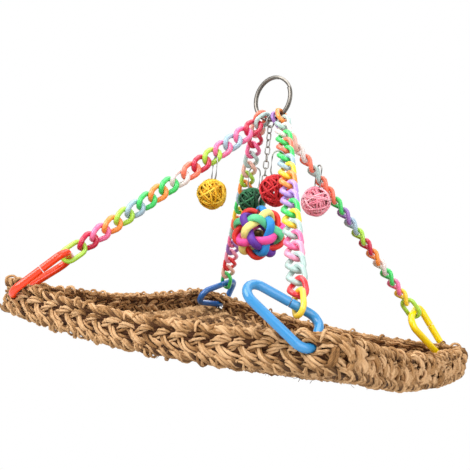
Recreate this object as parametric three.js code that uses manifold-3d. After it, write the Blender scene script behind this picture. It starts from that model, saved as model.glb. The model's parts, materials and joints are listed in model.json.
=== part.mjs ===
import * as THREE from 'three';
import { mergeVertices } from 'three/addons/utils/BufferGeometryUtils.js';
import Module from 'manifold-3d';

// Bird climbing mat: a woven seagrass square hung at its corners from a split ring on four curb-link
// chains, with rattan balls on the chains and a woven rainbow ball in the middle.
// Millimetres, +Z up. The origin is the point inside the top of the split ring where a hook bears.

// Air left between pieces that bear on each other
const CLEARANCE = 0.3;

// Split ring: flat spring wire wound in two turns
const RING_OUTER_DIAMETER = 43;
const RING_WIRE_RADIAL = 3;
const RING_WIRE_AXIAL = 1.4;
const RING_TURN_GAP = 0.5;
const RING_PLAN_ANGLE = -10;
const RING_SPLIT_ANGLE = 52;
const RING_SPLIT_OPENING = 38;
const RING_SPLIT_END = 6;

// Moulded curb links of the four leg chains
const LINK_LENGTH = 19.8;
const LINK_WIDTH = 15.3;
const LINK_WIRE = 3.9;
const LINK_TWIST = 45;
const END_LINK_LENGTH = 24.6;
const LINK_GROUPS = 5;
const LINK_BITE = 0.5;
const CHAIN_SPACING = 6.8;
const RING_PLAY = 0.8;
const LEFT_LEG_LINKS = 18;
const NEAR_LEG_LINKS = 20;
const RIGHT_LEG_LINKS = 19;
const BACK_LEG_LINKS = 19;

// One-piece snap clips: a rounded triangle of round bar, open at a slit
const CLIP_BAR = 6.6;
const CLIP_LENGTH = 63;
const CLIP_WIDE_END = 40;
const CLIP_CORNER_RADIUS = 9.4;
const CLIP_SKEW = 4;
const CLIP_LEAN = 0.25;
const CLIP_SLIT = 0.9;
const CLIP_SLIT_PLACE = 0.42;
const CLIP_SIDE_HOOK_PLACE = 0.2;
const BAND_NOTCH_CLEARANCE = 2.4;
const ROPE_NOTCH_CLEARANCE = 1.7;

// Seagrass mat with its plaited border
const MAT_SIDE = 316;
const RIM_ROPE = 8;
const BAND_THICKNESS = 8.6;
const BAND_HEIGHT = 11.5;
const BASE_ROPE = 7;
const BORDER_CORNER_RADIUS = 22;
const PANEL_THICKNESS = 6.5;
const PANEL_DROP = 13.4;
const CLIP_INSET = 31;
const EDGE_SAG = 12;

// Rattan balls and the bent wire loops that hang them
const RATTAN_DIAMETER = 28.7;
const RATTAN_STRAND = 2.5;
const RATTAN_TILT = 52;
const LOOP_WIRE = 1.1;
const LOOP_LENGTH = 24;
const LOOP_WIDTH = 12;
const LOOP_PLAY = 1.05;
const BALL_LINK = 5;

// Small steel chain down the middle
const JUMP_RING_DIAMETER = 11.5;
const JUMP_RING_WIRE = 1.4;
const STEEL_LINK_LENGTH = 8.6;
const STEEL_LINK_WIDTH = 5.6;
const STEEL_LINK_WIRE = 1.2;
const STEEL_LINKS = 10;
const STEEL_BITE = 0.35;

// Rainbow ball of six woven rings, with a bell inside
const RAINBOW_DIAMETER = 48;
const RAINBOW_TUBE = 4.7;
const RAINBOW_WEAVE = 0.2;
const RAINBOW_FACING = 30;
const BELL_DIAMETER = 15;
const BELL_WALL = 0.8;
const BELL_SLOT = 1.5;
const PELLET_DIAMETER = 4;

const wasm = await Module();
wasm.setup();

const UP = new THREE.Vector3(0, 0, 1);
const toy = new THREE.Group();
const pivots = {};

const radians = THREE.MathUtils.degToRad;

/** Plan direction of an angle in degrees, counted from +X towards +Y. */
function planDirection(degrees) {
  return new THREE.Vector3(Math.cos(radians(degrees)), Math.sin(radians(degrees)), 0);
}

/** Point at `origin` plus multiples of direction vectors. */
function offset(origin, ...steps) {
  const point = origin.clone();
  for (const [direction, distance] of steps) {
    point.addScaledVector(direction, distance);
  }
  return point;
}

/** Part of `vector` square to the unit vector `axis`, at unit length. */
function squareTo(vector, axis) {
  return offset(vector, [axis, -vector.dot(axis)]).normalize();
}

/** Round section of a bar or strand. */
function roundSection(diameter, sides) {
  const section = [];
  for (let i = 0; i < sides; i++) {
    const angle = (2 * Math.PI * i) / sides;
    section.push(new THREE.Vector2(Math.cos(angle), Math.sin(angle)).multiplyScalar(diameter / 2));
  }
  return section;
}

/** Rectangular section, its width sideways and its height along the path's up direction. */
function flatSection(width, height) {
  return [
    new THREE.Vector2(width / 2, -height / 2),
    new THREE.Vector2(width / 2, height / 2),
    new THREE.Vector2(-width / 2, height / 2),
    new THREE.Vector2(-width / 2, -height / 2),
  ];
}

/** Turns a triangle list the right way out and gives it normals. */
function closedGeometry(positions, triangles) {
  let volume = 0;
  const corner = (i) => new THREE.Vector3().fromArray(positions, 3 * i);
  for (let i = 0; i < triangles.length; i += 3) {
    const [a, b, c] = [corner(triangles[i]), corner(triangles[i + 1]), corner(triangles[i + 2])];
    volume += a.dot(b.cross(c));
  }
  const geometry = new THREE.BufferGeometry();
  geometry.setAttribute('position', new THREE.Float32BufferAttribute(positions, 3));
  geometry.setIndex(volume < 0 ? triangles.slice().reverse() : triangles);
  geometry.computeVertexNormals();
  return geometry;
}

/** Solid swept by a section along a path of points, closed on itself or capped at both ends. The
 * section's sides stay square to `up`, which is one direction or one for each point. */
function sweep(path, section, { closed = false, up }) {
  const count = path.length;
  const run = (i) => path[(i + 1) % count].clone().sub(path[i % count]).normalize();
  const positions = [];
  path.forEach((point, i) => {
    const before = run(closed ? i + count - 1 : Math.max(i - 1, 0));
    const after = run(closed ? i : Math.min(i, count - 2));
    const mitre = 1 / Math.sqrt((1 + before.dot(after)) / 2);
    const tangent = before.add(after).normalize();
    const side = new THREE.Vector3().crossVectors(Array.isArray(up) ? up[i] : up, tangent).normalize();
    const top = new THREE.Vector3().crossVectors(tangent, side);
    for (const { x, y } of section) {
      positions.push(...offset(point, [side, x * mitre], [top, y]).toArray());
    }
  });
  const around = section.length;
  const triangles = [];
  for (let i = 0; i < (closed ? count : count - 1); i++) {
    const here = i * around;
    const next = ((i + 1) % count) * around;
    for (let j = 0; j < around; j++) {
      const k = (j + 1) % around;
      triangles.push(here + j, here + k, next + k, here + j, next + k, next + j);
    }
  }
  if (!closed) {
    const end = (count - 1) * around;
    for (let j = 1; j < around - 1; j++) {
      triangles.push(0, j + 1, j, end, end + j, end + j + 1);
    }
  }
  return closedGeometry(positions, triangles);
}

/** Solid for joins and cuts from a closed geometry. */
function solid(geometry) {
  const bare = geometry.clone();
  bare.deleteAttribute('normal');
  bare.deleteAttribute('uv');
  const merged = mergeVertices(bare, 1e-4);
  const vertProperties = new Float32Array(merged.attributes.position.array);
  const triVerts = new Uint32Array(merged.index.array);
  return new wasm.Manifold(new wasm.Mesh({ numProp: 3, vertProperties, triVerts }));
}

/** Geometry of a joined or cut solid. */
function geometryOf(body) {
  const mesh = body.getMesh();
  const geometry = new THREE.BufferGeometry();
  geometry.setAttribute('position', new THREE.Float32BufferAttribute(mesh.vertProperties, 3));
  geometry.setIndex(Array.from(mesh.triVerts));
  geometry.computeVertexNormals();
  return geometry;
}

/** Joins geometries that run into each other to one body. */
function join(geometries) {
  return geometryOf(geometries.map(solid).reduce((whole, next) => whole.add(next)));
}

/** Adds one named piece to the toy. */
function piece(name, geometry, color, roughness, metalness) {
  const mesh = new THREE.Mesh(geometry, new THREE.MeshStandardMaterial({ color, roughness, metalness }));
  mesh.name = name;
  toy.add(mesh);
}

const steel = (name, geometry) => piece(name, geometry, 0xb9bcc0, 0.25, 1);
const plastic = (name, geometry, color) => piece(name, geometry, color, 0.28, 0);
const seagrass = (name, geometry, color) => piece(name, geometry, color, 0.9, 0);

// Split ring. Its plane stands upright, the two turns overlap everywhere but at the split.
const ringRadius = (RING_OUTER_DIAMETER - RING_WIRE_RADIAL) / 2;
const ringAlong = planDirection(RING_PLAN_ANGLE);
const ringAxis = new THREE.Vector3().crossVectors(ringAlong, UP);
const ringCentre = new THREE.Vector3(0, 0, RING_WIRE_RADIAL / 2 - ringRadius);
const ringTurnShift = (RING_WIRE_AXIAL + RING_TURN_GAP) / 2;
const ringDepth = 2 * RING_WIRE_AXIAL + RING_TURN_GAP;

/** Point on the ring's circle, its angle in degrees counted from the ring's plan direction upwards. */
function ringPoint(degrees) {
  const angle = radians(degrees);
  return offset(ringCentre, [ringAlong, ringRadius * Math.cos(angle)], [UP, ringRadius * Math.sin(angle)]);
}

function splitRing() {
  const path = [];
  const start = RING_SPLIT_ANGLE + RING_SPLIT_OPENING / 2 + RING_SPLIT_END;
  const end = RING_SPLIT_ANGLE + 720 - RING_SPLIT_OPENING / 2 - RING_SPLIT_END;
  const steps = 44;
  for (let i = 0; i <= steps; i++) {
    const degrees = start + ((end - start) * i) / steps;
    const crossing = (degrees - RING_SPLIT_ANGLE - 360) / (RING_SPLIT_OPENING / 2);
    const shift = ringTurnShift * THREE.MathUtils.clamp(crossing, -1, 1);
    path.push(offset(ringPoint(degrees), [ringAxis, shift]));
  }
  return sweep(path, flatSection(RING_WIRE_RADIAL, RING_WIRE_AXIAL), { up: ringAxis });
}

steel('hanging_ring', splitRing());

// Chain links. A link is a stadium of round wire, and a curb link is twisted from end to end.
const linkHalf = (LINK_LENGTH - LINK_WIRE) / 2;
const endLinkHalf = (END_LINK_LENGTH - LINK_WIRE) / 2;
const linkSide = (LINK_WIDTH - LINK_WIRE) / 2;

/** Closed stadium of points, x lengthwise and y across, turned about x in proportion to x, with the
 * direction square to the stadium at each point. */
function stadium(half, side, twist, arcSteps) {
  const points = [];
  const normals = [];
  for (const end of [1, -1]) {
    for (let i = 0; i <= arcSteps; i++) {
      const angle = Math.PI * (i / arcSteps - 0.5);
      const atLeg = i === 0 || i === arcSteps;
      const reach = atLeg ? side : side / Math.cos(Math.PI / arcSteps / 2);
      const x = end * (half - side + reach * Math.cos(angle));
      const y = end * reach * Math.sin(angle);
      const turn = (radians(twist) * x) / half;
      points.push(new THREE.Vector3(x, y * Math.cos(turn), y * Math.sin(turn)));
      normals.push(new THREE.Vector3(0, -Math.sin(turn), Math.cos(turn)));
    }
  }
  return { points, normals };
}

/** Link of round wire bent to a stadium at `centre`, lengthwise along `along` and wide along `across`. */
function wireLink({ points, normals }, centre, along, across, section) {
  const third = new THREE.Vector3().crossVectors(along, across);
  const place = (origin, p) => offset(origin, [along, p.x], [across, p.y], [third, p.z]);
  const path = points.map((point) => place(centre, point));
  const up = normals.map((normal) => place(new THREE.Vector3(), normal));
  return sweep(path, section, { closed: true, up });
}

/** Direction square to `axis`, turned from `zero` by an angle in degrees. */
function turned(zero, axis, degrees) {
  return zero.clone().applyAxisAngle(axis, radians(degrees));
}

// Clip outline: three round corners, the tip at A, the wide end between B and C, the slit in bar BA.
const clipReach = CLIP_LENGTH - CLIP_BAR - 2 * CLIP_CORNER_RADIUS;
const clipRise = CLIP_WIDE_END - CLIP_BAR - 2 * CLIP_CORNER_RADIUS;
const clipCorners = {
  A: new THREE.Vector2(0, 0),
  B: new THREE.Vector2(clipReach - CLIP_SKEW, (1 - CLIP_LEAN) * clipRise),
  C: new THREE.Vector2(clipReach, -CLIP_LEAN * clipRise),
};

/** Bar of the clip between two of its corners: its two ends and its outward direction. */
function clipBarLine(from, to) {
  const run = clipCorners[to].clone().sub(clipCorners[from]).normalize();
  const outward = new THREE.Vector2(run.y, -run.x);
  const shift = outward.clone().multiplyScalar(CLIP_CORNER_RADIUS);
  return { start: clipCorners[from].clone().add(shift), end: clipCorners[to].clone().add(shift), outward, run };
}

const clipBars = [clipBarLine('B', 'A'), clipBarLine('A', 'C'), clipBarLine('C', 'B')];
const clipTurns = ['A', 'C', 'B'];

/** Points along the clip's bar, from one side of the slit round to the other. */
function clipOutline() {
  const arcSteps = 5;
  const opening = clipBars[0].start.clone().lerp(clipBars[0].end, CLIP_SLIT_PLACE);
  const points = [opening];
  clipTurns.forEach((name, i) => {
    const from = clipBars[i].outward.angle();
    const to = clipBars[(i + 1) % 3].outward.angle();
    const sweepAngle = (to - from + 2 * Math.PI) % (2 * Math.PI);
    for (let k = 0; k <= arcSteps; k++) {
      const angle = from + (sweepAngle * k) / arcSteps;
      const spoke = new THREE.Vector2(Math.cos(angle), Math.sin(angle)).multiplyScalar(CLIP_CORNER_RADIUS);
      points.push(clipCorners[name].clone().add(spoke));
    }
  });
  points.push(opening.clone().addScaledVector(clipBars[0].run, -CLIP_SLIT));
  return points;
}

// A clip holds the rope in its tip and the chain in its wide end, or lies sideways with the rope in
// corner C and the chain on bar BA.
const clipHoldings = {
  lengthwise: { seat: clipCorners.A, bar: clipBars[2], place: 0.5 },
  sideways: { seat: clipCorners.C, bar: clipBars[0], place: CLIP_SIDE_HOOK_PLACE },
};

function clipHolding(kind) {
  const { seat, bar, place } = clipHoldings[kind];
  const hook = bar.start.clone().lerp(bar.end, place);
  const reach = hook.clone().sub(seat);
  const along = reach.clone().normalize();
  const lean = Math.abs(along.dot(bar.run));
  const drop = (CLIP_BAR / 2 + LINK_WIRE / 2 + CLEARANCE) / Math.sqrt(1 - lean * lean);
  return { seat, along, length: reach.length(), drop };
}

// Legs. Each chain starts on the ring's lower wire and ends in a clip that holds the rim rope.
const rimHalf = (MAT_SIDE - Math.max(RIM_ROPE, BAND_THICKNESS)) / 2;
const footAlong = MAT_SIDE / 2 - CLIP_INSET;
const ringBearing = Math.hypot(RING_WIRE_RADIAL, ringDepth) / 2 + LINK_WIRE / 2 + RING_PLAY;

const legs = [
  {
    name: 'left', side: [-1, -1], place: -1, links: LEFT_LEG_LINKS,
    hold: 'lengthwise', facing: 130, hand: -1, flip: 1,
    clip: 0xe8492c, ball: 0xf0b62c,
    colors: [0xc3d6cf, 0xef6fa6, 0x7fd13a, 0xf08a76, 0x35b25c, 0xf39a35, 0x8fd048],
  },
  {
    name: 'near', side: [1, -1], place: 2, links: NEAR_LEG_LINKS,
    hold: 'sideways', facing: 50, hand: -1, flip: 1,
    clip: 0x3f93ee, ball: 0xb5202c,
    colors: [0xf29436, 0x55c07a, 0xf0823e, 0xf2cf3c, 0xb59ad8, 0xf49ab4, 0xf3cc36],
  },
  {
    name: 'right', side: [1, 1], place: 1, links: RIGHT_LEG_LINKS,
    hold: 'lengthwise', facing: 100, hand: 1, flip: -1,
    clip: 0xf2c02e, ball: 0xe0617f,
    colors: [0x8a5fb8, 0xf4b9a0, 0xf07f4a, 0x45b463, 0x9ed14a, 0xf0a04c, 0xa5d45a],
  },
  {
    name: 'back', side: [-1, 1], place: -2, links: BACK_LEG_LINKS,
    hold: 'sideways', facing: 70, hand: -1, flip: 1,
    clip: 0x2a5fae, ball: 0x1f5a34,
    colors: [0xf08a72, 0xd9325a, 0xef86ae, 0xf3c0a4, 0xe4576a, 0x8b62b6, 0x4fb968],
  },
];

/** Numbers of the links in each piece of a chain: the plain end links alone, the curb links in groups. */
function linkGroups(count) {
  const groups = [[0]];
  let next = 1;
  for (let i = 0; i < LINK_GROUPS; i++) {
    const size = Math.floor((count - 1 - next) / (LINK_GROUPS - i));
    groups.push(Array.from({ length: size }, (_, k) => next + k));
    next += size;
  }
  groups.push([count - 1]);
  return groups;
}

for (const leg of legs) {
  leg.groups = linkGroups(leg.links);
  const degrees = -90 + THREE.MathUtils.radToDeg((leg.place * CHAIN_SPACING) / ringRadius);
  leg.start = ringPoint(degrees);
  const angle = radians(degrees);
  leg.wire = offset(ringAlong.clone().multiplyScalar(-Math.sin(angle)), [UP, Math.cos(angle)]);
  leg.holding = clipHolding(leg.hold);
  leg.centres = [linkHalf - ringBearing];
  leg.groups.forEach((group, g) => {
    group.forEach((link, k) => {
      if (link > 0) {
        const bearing = k > 0 ? LINK_WIRE - LINK_BITE : LINK_WIRE + CLEARANCE;
        const halves = linkHalf + (link === leg.links - 1 ? endLinkHalf : linkHalf);
        leg.centres.push(leg.centres[link - 1] + halves - bearing);
      }
    });
  });
  const hookAt = leg.centres[leg.links - 1] + endLinkHalf - leg.holding.drop;
  const length = hookAt + leg.holding.length;
  const plan = new THREE.Vector2(leg.side[0] * footAlong - leg.start.x, leg.side[1] * rimHalf - leg.start.y);
  const fall = Math.sqrt(length * length - plan.lengthSq());
  leg.foot = new THREE.Vector3(leg.side[0] * footAlong, leg.side[1] * rimHalf, leg.start.z - fall);
  leg.down = leg.foot.clone().sub(leg.start).normalize();
  leg.across = new THREE.Vector3().crossVectors(leg.down, leg.wire).normalize();
  leg.clipNormal = squareTo(planDirection(leg.facing - 90), leg.down);
}

/** Turn of each link about its chain, so that every end bow stands square to the next one. */
function linkTurns(leg) {
  const last = THREE.MathUtils.radToDeg(
    Math.atan2(
      new THREE.Vector3().crossVectors(leg.across, leg.clipNormal).dot(leg.down),
      leg.across.dot(leg.clipNormal),
    ),
  );
  const spare = ((((last - 90) % 180) + 270) % 180) - 90;
  const extra = spare / (leg.links - 1);
  const turns = [0];
  for (let i = 1; i < leg.links - 1; i++) {
    turns.push(90 + leg.hand * LINK_TWIST + extra * i);
  }
  turns.push(last);
  return turns;
}

for (const leg of legs) {
  leg.turns = linkTurns(leg);
  const section = roundSection(LINK_WIRE, 4);
  const link = (i) => {
    const twist = i === 0 || i === leg.links - 1 ? 0 : leg.hand * LINK_TWIST;
    const half = i === leg.links - 1 ? endLinkHalf : linkHalf;
    const centre = offset(leg.start, [leg.down, leg.centres[i]]);
    const across = turned(leg.across, leg.down, leg.turns[i]);
    return wireLink(stadium(half, linkSide, twist, 3), centre, leg.down, across, section);
  };
  leg.groups.forEach((group, g) => {
    const last = leg.groups.length - 1;
    const label = g === 0 ? 'top_link' : g === last ? 'end_link' : `links_${g}`;
    plastic(`${leg.name}_chain_${label}`, join(group.map(link)), leg.colors[g % leg.colors.length]);
  });
}

// Clips. The border is notched for each with the same bar, thickened by `grow` so that the clip can turn.
function clipSolid(leg, grow = 0) {
  const { seat, along } = leg.holding;
  const upLeg = leg.down.clone().negate();
  const normal = leg.clipNormal;
  const sideways = new THREE.Vector3().crossVectors(normal, upLeg).multiplyScalar(leg.flip);
  const path = clipOutline().map((p) => {
    const from = p.sub(seat);
    return offset(leg.foot, [upLeg, from.dot(along)], [sideways, from.cross(along) * -1]);
  });
  return sweep(path, roundSection(CLIP_BAR + 2 * grow, 7), { up: normal });
}

for (const leg of legs) {
  plastic(`${leg.name}_clip`, clipSolid(leg), leg.clip);
  pivots[`${leg.name}_clip_twist`] = { point: leg.foot.toArray(), axis: leg.down.toArray() };
}

// Mat. The rim passes through the four clips and sags between them, the panel sags to the middle.
const [leftZ, nearZ, rightZ, backZ] = legs.map((leg) => leg.foot.z);

/** Height of the rim rope's level at a plan position. */
function matLevel(x, y) {
  const u = x / footAlong;
  const v = y / rimHalf;
  const even = (leftZ + nearZ + rightZ + backZ) / 4;
  const slopeU = (nearZ + rightZ - leftZ - backZ) / 4;
  const slopeV = (rightZ + backZ - leftZ - nearZ) / 4;
  const saddle = (leftZ + rightZ - nearZ - backZ) / 4;
  const sag = EDGE_SAG * (2 - (x / rimHalf) ** 2 - (y / rimHalf) ** 2);
  const sagAtFoot = EDGE_SAG * (1 - (footAlong / rimHalf) ** 2);
  return even + slopeU * u + slopeV * v + saddle * u * v - sag + sagAtFoot;
}

/** Rounded square of points around the border, `drop` below the rim rope's level. */
function borderPath(drop) {
  const sideSteps = 7;
  const cornerSteps = 3;
  const straight = rimHalf - BORDER_CORNER_RADIUS;
  const points = [];
  for (let side = 0; side < 4; side++) {
    const along = planDirection(90 * side);
    const out = planDirection(90 * side - 90);
    for (let i = 0; i < sideSteps; i++) {
      points.push(offset(new THREE.Vector3(), [out, rimHalf], [along, straight * ((2 * i) / sideSteps - 1)]));
    }
    for (let i = 0; i < cornerSteps; i++) {
      const angle = (Math.PI / 2) * (i / cornerSteps);
      const outward = straight + BORDER_CORNER_RADIUS * Math.cos(angle);
      const onward = straight + BORDER_CORNER_RADIUS * Math.sin(angle);
      points.push(offset(new THREE.Vector3(), [out, outward], [along, onward]));
    }
  }
  points.forEach((point) => point.setZ(matLevel(point.x, point.y) - drop));
  return points;
}

const bandDrop = RIM_ROPE / 2 + CLEARANCE + BAND_HEIGHT / 2;
const baseDrop = bandDrop + BAND_HEIGHT / 2 + CLEARANCE + BASE_ROPE / 2;
const ropeSection = roundSection(RIM_ROPE, 6);
const band = sweep(borderPath(bandDrop), flatSection(BAND_THICKNESS, BAND_HEIGHT), { closed: true, up: UP });
const rope = sweep(borderPath(0), ropeSection, { closed: true, up: UP });

/** A border piece parted around the four clips. */
function notched(geometry, grow) {
  return geometryOf(legs.reduce((body, leg) => body.subtract(solid(clipSolid(leg, grow))), solid(geometry)));
}

seagrass('rim_rope', notched(rope, ROPE_NOTCH_CLEARANCE), 0xb99263);
seagrass('border_band', notched(band, BAND_NOTCH_CLEARANCE), 0xa98358);
const baseSection = roundSection(BASE_ROPE, 5);
seagrass('base_rope', sweep(borderPath(baseDrop), baseSection, { closed: true, up: UP }), 0x97724a);

function matPanel() {
  const cells = 10;
  const half = rimHalf - BAND_THICKNESS / 2 - CLEARANCE;
  const corner = BORDER_CORNER_RADIUS - CLEARANCE;
  const round = (u, v) => {
    const point = new THREE.Vector2(u * half, v * half);
    const limit = half - corner;
    const past = (value) => Math.max(Math.abs(value) - limit, 0);
    const beyond = new THREE.Vector2(past(point.x), past(point.y));
    if (beyond.x > 0 && beyond.y > 0 && beyond.length() > corner) {
      beyond.setLength(corner);
      point.set(Math.sign(point.x) * (limit + beyond.x), Math.sign(point.y) * (limit + beyond.y));
    }
    return point;
  };
  const positions = [];
  const triangles = [];
  const row = cells + 1;
  const layer = row * row;
  for (const drop of [PANEL_DROP, PANEL_DROP + PANEL_THICKNESS]) {
    for (let j = 0; j <= cells; j++) {
      for (let i = 0; i <= cells; i++) {
        const { x, y } = round((2 * i) / cells - 1, (2 * j) / cells - 1);
        positions.push(x, y, matLevel(x, y) - drop);
      }
    }
  }
  const quad = (a, b, c, d) => triangles.push(a, b, c, a, c, d);
  for (let j = 0; j < cells; j++) {
    for (let i = 0; i < cells; i++) {
      const a = j * row + i;
      quad(a, a + 1, a + row + 1, a + row);
      quad(layer + a, layer + a + row, layer + a + row + 1, layer + a + 1);
    }
  }
  for (let i = 0; i < cells; i++) {
    const far = cells * row;
    quad(i, layer + i, layer + i + 1, i + 1);
    quad(far + i, far + i + 1, layer + far + i + 1, layer + far + i);
    quad(i * row, (i + 1) * row, layer + (i + 1) * row, layer + i * row);
    quad(i * row + cells, layer + i * row + cells, layer + (i + 1) * row + cells, (i + 1) * row + cells);
  }
  return closedGeometry(positions, triangles);
}

seagrass('mat_panel', matPanel(), 0x8a6a45);
pivots.hammock_swing = { point: ringPoint(-90).toArray(), axis: ringAlong.toArray() };

// Rattan balls, each hung from the lower side of one chain link by a bent wire loop
const strandRadius = (RATTAN_DIAMETER - RATTAN_STRAND) / 2;

function hoop(centre, normal, radius, steps) {
  const first = squareTo(Math.abs(normal.z) < 0.9 ? UP : new THREE.Vector3(1, 0, 0), normal);
  const second = new THREE.Vector3().crossVectors(normal, first);
  const path = [];
  for (let i = 0; i < steps; i++) {
    const angle = (2 * Math.PI * i) / steps;
    path.push(offset(centre, [first, radius * Math.cos(angle)], [second, radius * Math.sin(angle)]));
  }
  return path;
}

function rattanBall(centre, outward) {
  const normals = [new THREE.Vector3().crossVectors(outward, UP)];
  for (let i = 0; i < 3; i++) {
    const lean = turned(outward, UP, 120 * i + 60).multiplyScalar(Math.sin(radians(RATTAN_TILT)));
    normals.push(offset(lean, [UP, Math.cos(radians(RATTAN_TILT))]));
  }
  const strand = roundSection(RATTAN_STRAND, 3);
  const wind = (normal) => sweep(hoop(centre, normal, strandRadius, 10), strand, { closed: true, up: normal });
  return join(normals.map(wind));
}

const loopHalf = (LOOP_LENGTH - LOOP_WIRE) / 2;
const loopSide = (LOOP_WIDTH - LOOP_WIRE) / 2;
const loopShape = stadium(loopHalf, loopSide, 0, 5);
const loopSection = roundSection(LOOP_WIRE, 4);
for (const leg of legs) {
  const outward = new THREE.Vector3(leg.down.x, leg.down.y, 0).normalize();
  const loopAcross = new THREE.Vector3().crossVectors(outward, UP);
  const across = turned(leg.across, leg.down, leg.turns[BALL_LINK]);
  const lower = across.z < 0 ? across : across.clone().negate();
  const grip = offset(leg.start, [leg.down, leg.centres[BALL_LINK]], [lower, linkSide]);
  const slant = (linkSide * radians(leg.hand * LINK_TWIST)) / linkHalf;
  const wire = offset(leg.down, [new THREE.Vector3().crossVectors(leg.down, lower), slant]).normalize();
  const [onward, sideways, fall] = [wire.dot(outward), wire.dot(loopAcross), wire.z];
  const widest = Math.sqrt(1 - sideways * sideways);
  const rise = ((LINK_WIRE / 2) * widest) / onward + LOOP_PLAY + LOOP_WIRE / 2;
  const shift = ((LINK_WIRE / 2) * sideways * fall) / (onward * widest);
  const loopCentre = offset(grip, [UP, rise - loopHalf], [loopAcross, shift]);
  steel(`${leg.name}_ball_loop`, wireLink(loopShape, loopCentre, UP, loopAcross, loopSection));
  const strandAt = offset(loopCentre, [UP, LOOP_WIRE / 2 + CLEARANCE + RATTAN_STRAND / 2 - loopHalf]);
  const ballCentre = offset(strandAt, [UP, -strandRadius]);
  piece(`${leg.name}_rattan_ball`, rattanBall(ballCentre, outward), leg.ball, 0.75, 0);
  pivots[`${leg.name}_ball_swing`] = { point: grip.toArray(), axis: outward.toArray() };
}

// Steel chain: a jump ring on the split ring, then cable links, each one a quarter turn on from the last
const jumpRadius = (JUMP_RING_DIAMETER - JUMP_RING_WIRE) / 2;
const jumpTop = ringPoint(-90).z + Math.hypot(RING_WIRE_RADIAL, ringDepth) / 2 + CLEARANCE + JUMP_RING_WIRE / 2;
const jumpCentre = new THREE.Vector3(0, 0, jumpTop - jumpRadius);
const jumpPath = hoop(jumpCentre, ringAlong, jumpRadius, 14);
steel('chain_jump_ring', sweep(jumpPath, roundSection(JUMP_RING_WIRE, 5), { closed: true, up: ringAlong }));

const steelHalf = (STEEL_LINK_LENGTH - STEEL_LINK_WIRE) / 2;
const steelSide = (STEEL_LINK_WIDTH - STEEL_LINK_WIRE) / 2;
const steelPitch = 2 * steelHalf - STEEL_LINK_WIRE + STEEL_BITE;
const steelTop = jumpTop - 2 * jumpRadius + JUMP_RING_WIRE / 2 + STEEL_LINK_WIRE / 2 + CLEARANCE;

// Rainbow ball axes: one ring faces outwards, the other five lean round it like a pentagon's sides
const facing = planDirection(RAINBOW_FACING - 90);
const sidewaysOfFacing = planDirection(RAINBOW_FACING);
const ringLean = Math.atan(2);
const rainbowRings = [
  { name: 'red', color: 0xe23a34 },
  { name: 'blue', color: 0x2f86d4, edge: 0 },
  { name: 'green', color: 0x55bd78, edge: 72 },
  { name: 'yellow', color: 0xe3cf62, edge: 144 },
  { name: 'purple', color: 0x5b2f92, edge: 216 },
  { name: 'pink', color: 0xef4f9f, edge: 288 },
];
for (const ring of rainbowRings) {
  ring.axis = facing.clone();
  if (ring.edge !== undefined) {
    const spread = Math.sin(ringLean);
    const level = -spread * Math.cos(radians(ring.edge));
    const rise = -spread * Math.sin(radians(ring.edge));
    const forward = facing.clone().multiplyScalar(Math.cos(ringLean));
    ring.axis = offset(forward, [sidewaysOfFacing, level], [UP, rise]);
  }
}
const loopPlane = squareTo(rainbowRings[5].axis, UP);
const steelEndAcross = new THREE.Vector3().crossVectors(UP, loopPlane);

function steelChain() {
  const zero = ringAlong;
  const last = THREE.MathUtils.radToDeg(
    Math.atan2(new THREE.Vector3().crossVectors(zero, steelEndAcross).dot(UP), zero.dot(steelEndAcross)),
  );
  const quarter = 90 * (STEEL_LINKS - 1);
  const extra = (((((last - quarter) % 180) + 270) % 180) - 90) / (STEEL_LINKS - 1);
  const links = [];
  for (let i = 0; i < STEEL_LINKS; i++) {
    const centre = new THREE.Vector3(0, 0, steelTop - steelHalf - i * steelPitch);
    const across = turned(zero, UP, (90 + extra) * i);
    const outline = stadium(steelHalf, steelSide, 0, 3);
    links.push(wireLink(outline, centre, UP, across, roundSection(STEEL_LINK_WIRE, 3)));
  }
  return join(links);
}

steel('steel_chain', steelChain());
pivots.chain_swing = { point: ringPoint(-90).toArray(), axis: ringAlong.toArray() };

// Rainbow ball. Along each ring the height waves five times, over and under its neighbours by turns.
const tubeRadius = RAINBOW_TUBE / 2;
const weaveRadius = (RAINBOW_DIAMETER / 2 - tubeRadius) / (1 + RAINBOW_WEAVE);
const weaveDepth = RAINBOW_WEAVE * weaveRadius;
const steelEnd = steelTop - 2 * steelHalf - (STEEL_LINKS - 1) * steelPitch;
const rainbowLoopTop = steelEnd + STEEL_LINK_WIRE / 2 + LOOP_WIRE / 2 + CLEARANCE;
const rainbowLoopEnd = rainbowLoopTop - 2 * loopHalf;
const crossingUnderside = weaveRadius - weaveDepth - tubeRadius;
const rainbowCentre = new THREE.Vector3(0, 0, rainbowLoopEnd + LOOP_WIRE / 2 + CLEARANCE - crossingUnderside);

/** True where the ring passes over at a crossing: it runs up to it with a pentagon on its left. */
function passesOver(ring, crossing) {
  const along = new THREE.Vector3().crossVectors(ring.axis, crossing);
  const middle = crossing.clone().applyAxisAngle(ring.axis, Math.PI / 10);
  let nearest = null;
  for (const other of rainbowRings) {
    for (const sign of [1, -1]) {
      const axis = other.axis.clone().multiplyScalar(sign);
      if (nearest === null || axis.dot(middle) > nearest.dot(middle)) {
        nearest = axis;
      }
    }
  }
  return new THREE.Vector3().crossVectors(nearest, middle).dot(along) < 0;
}

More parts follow.
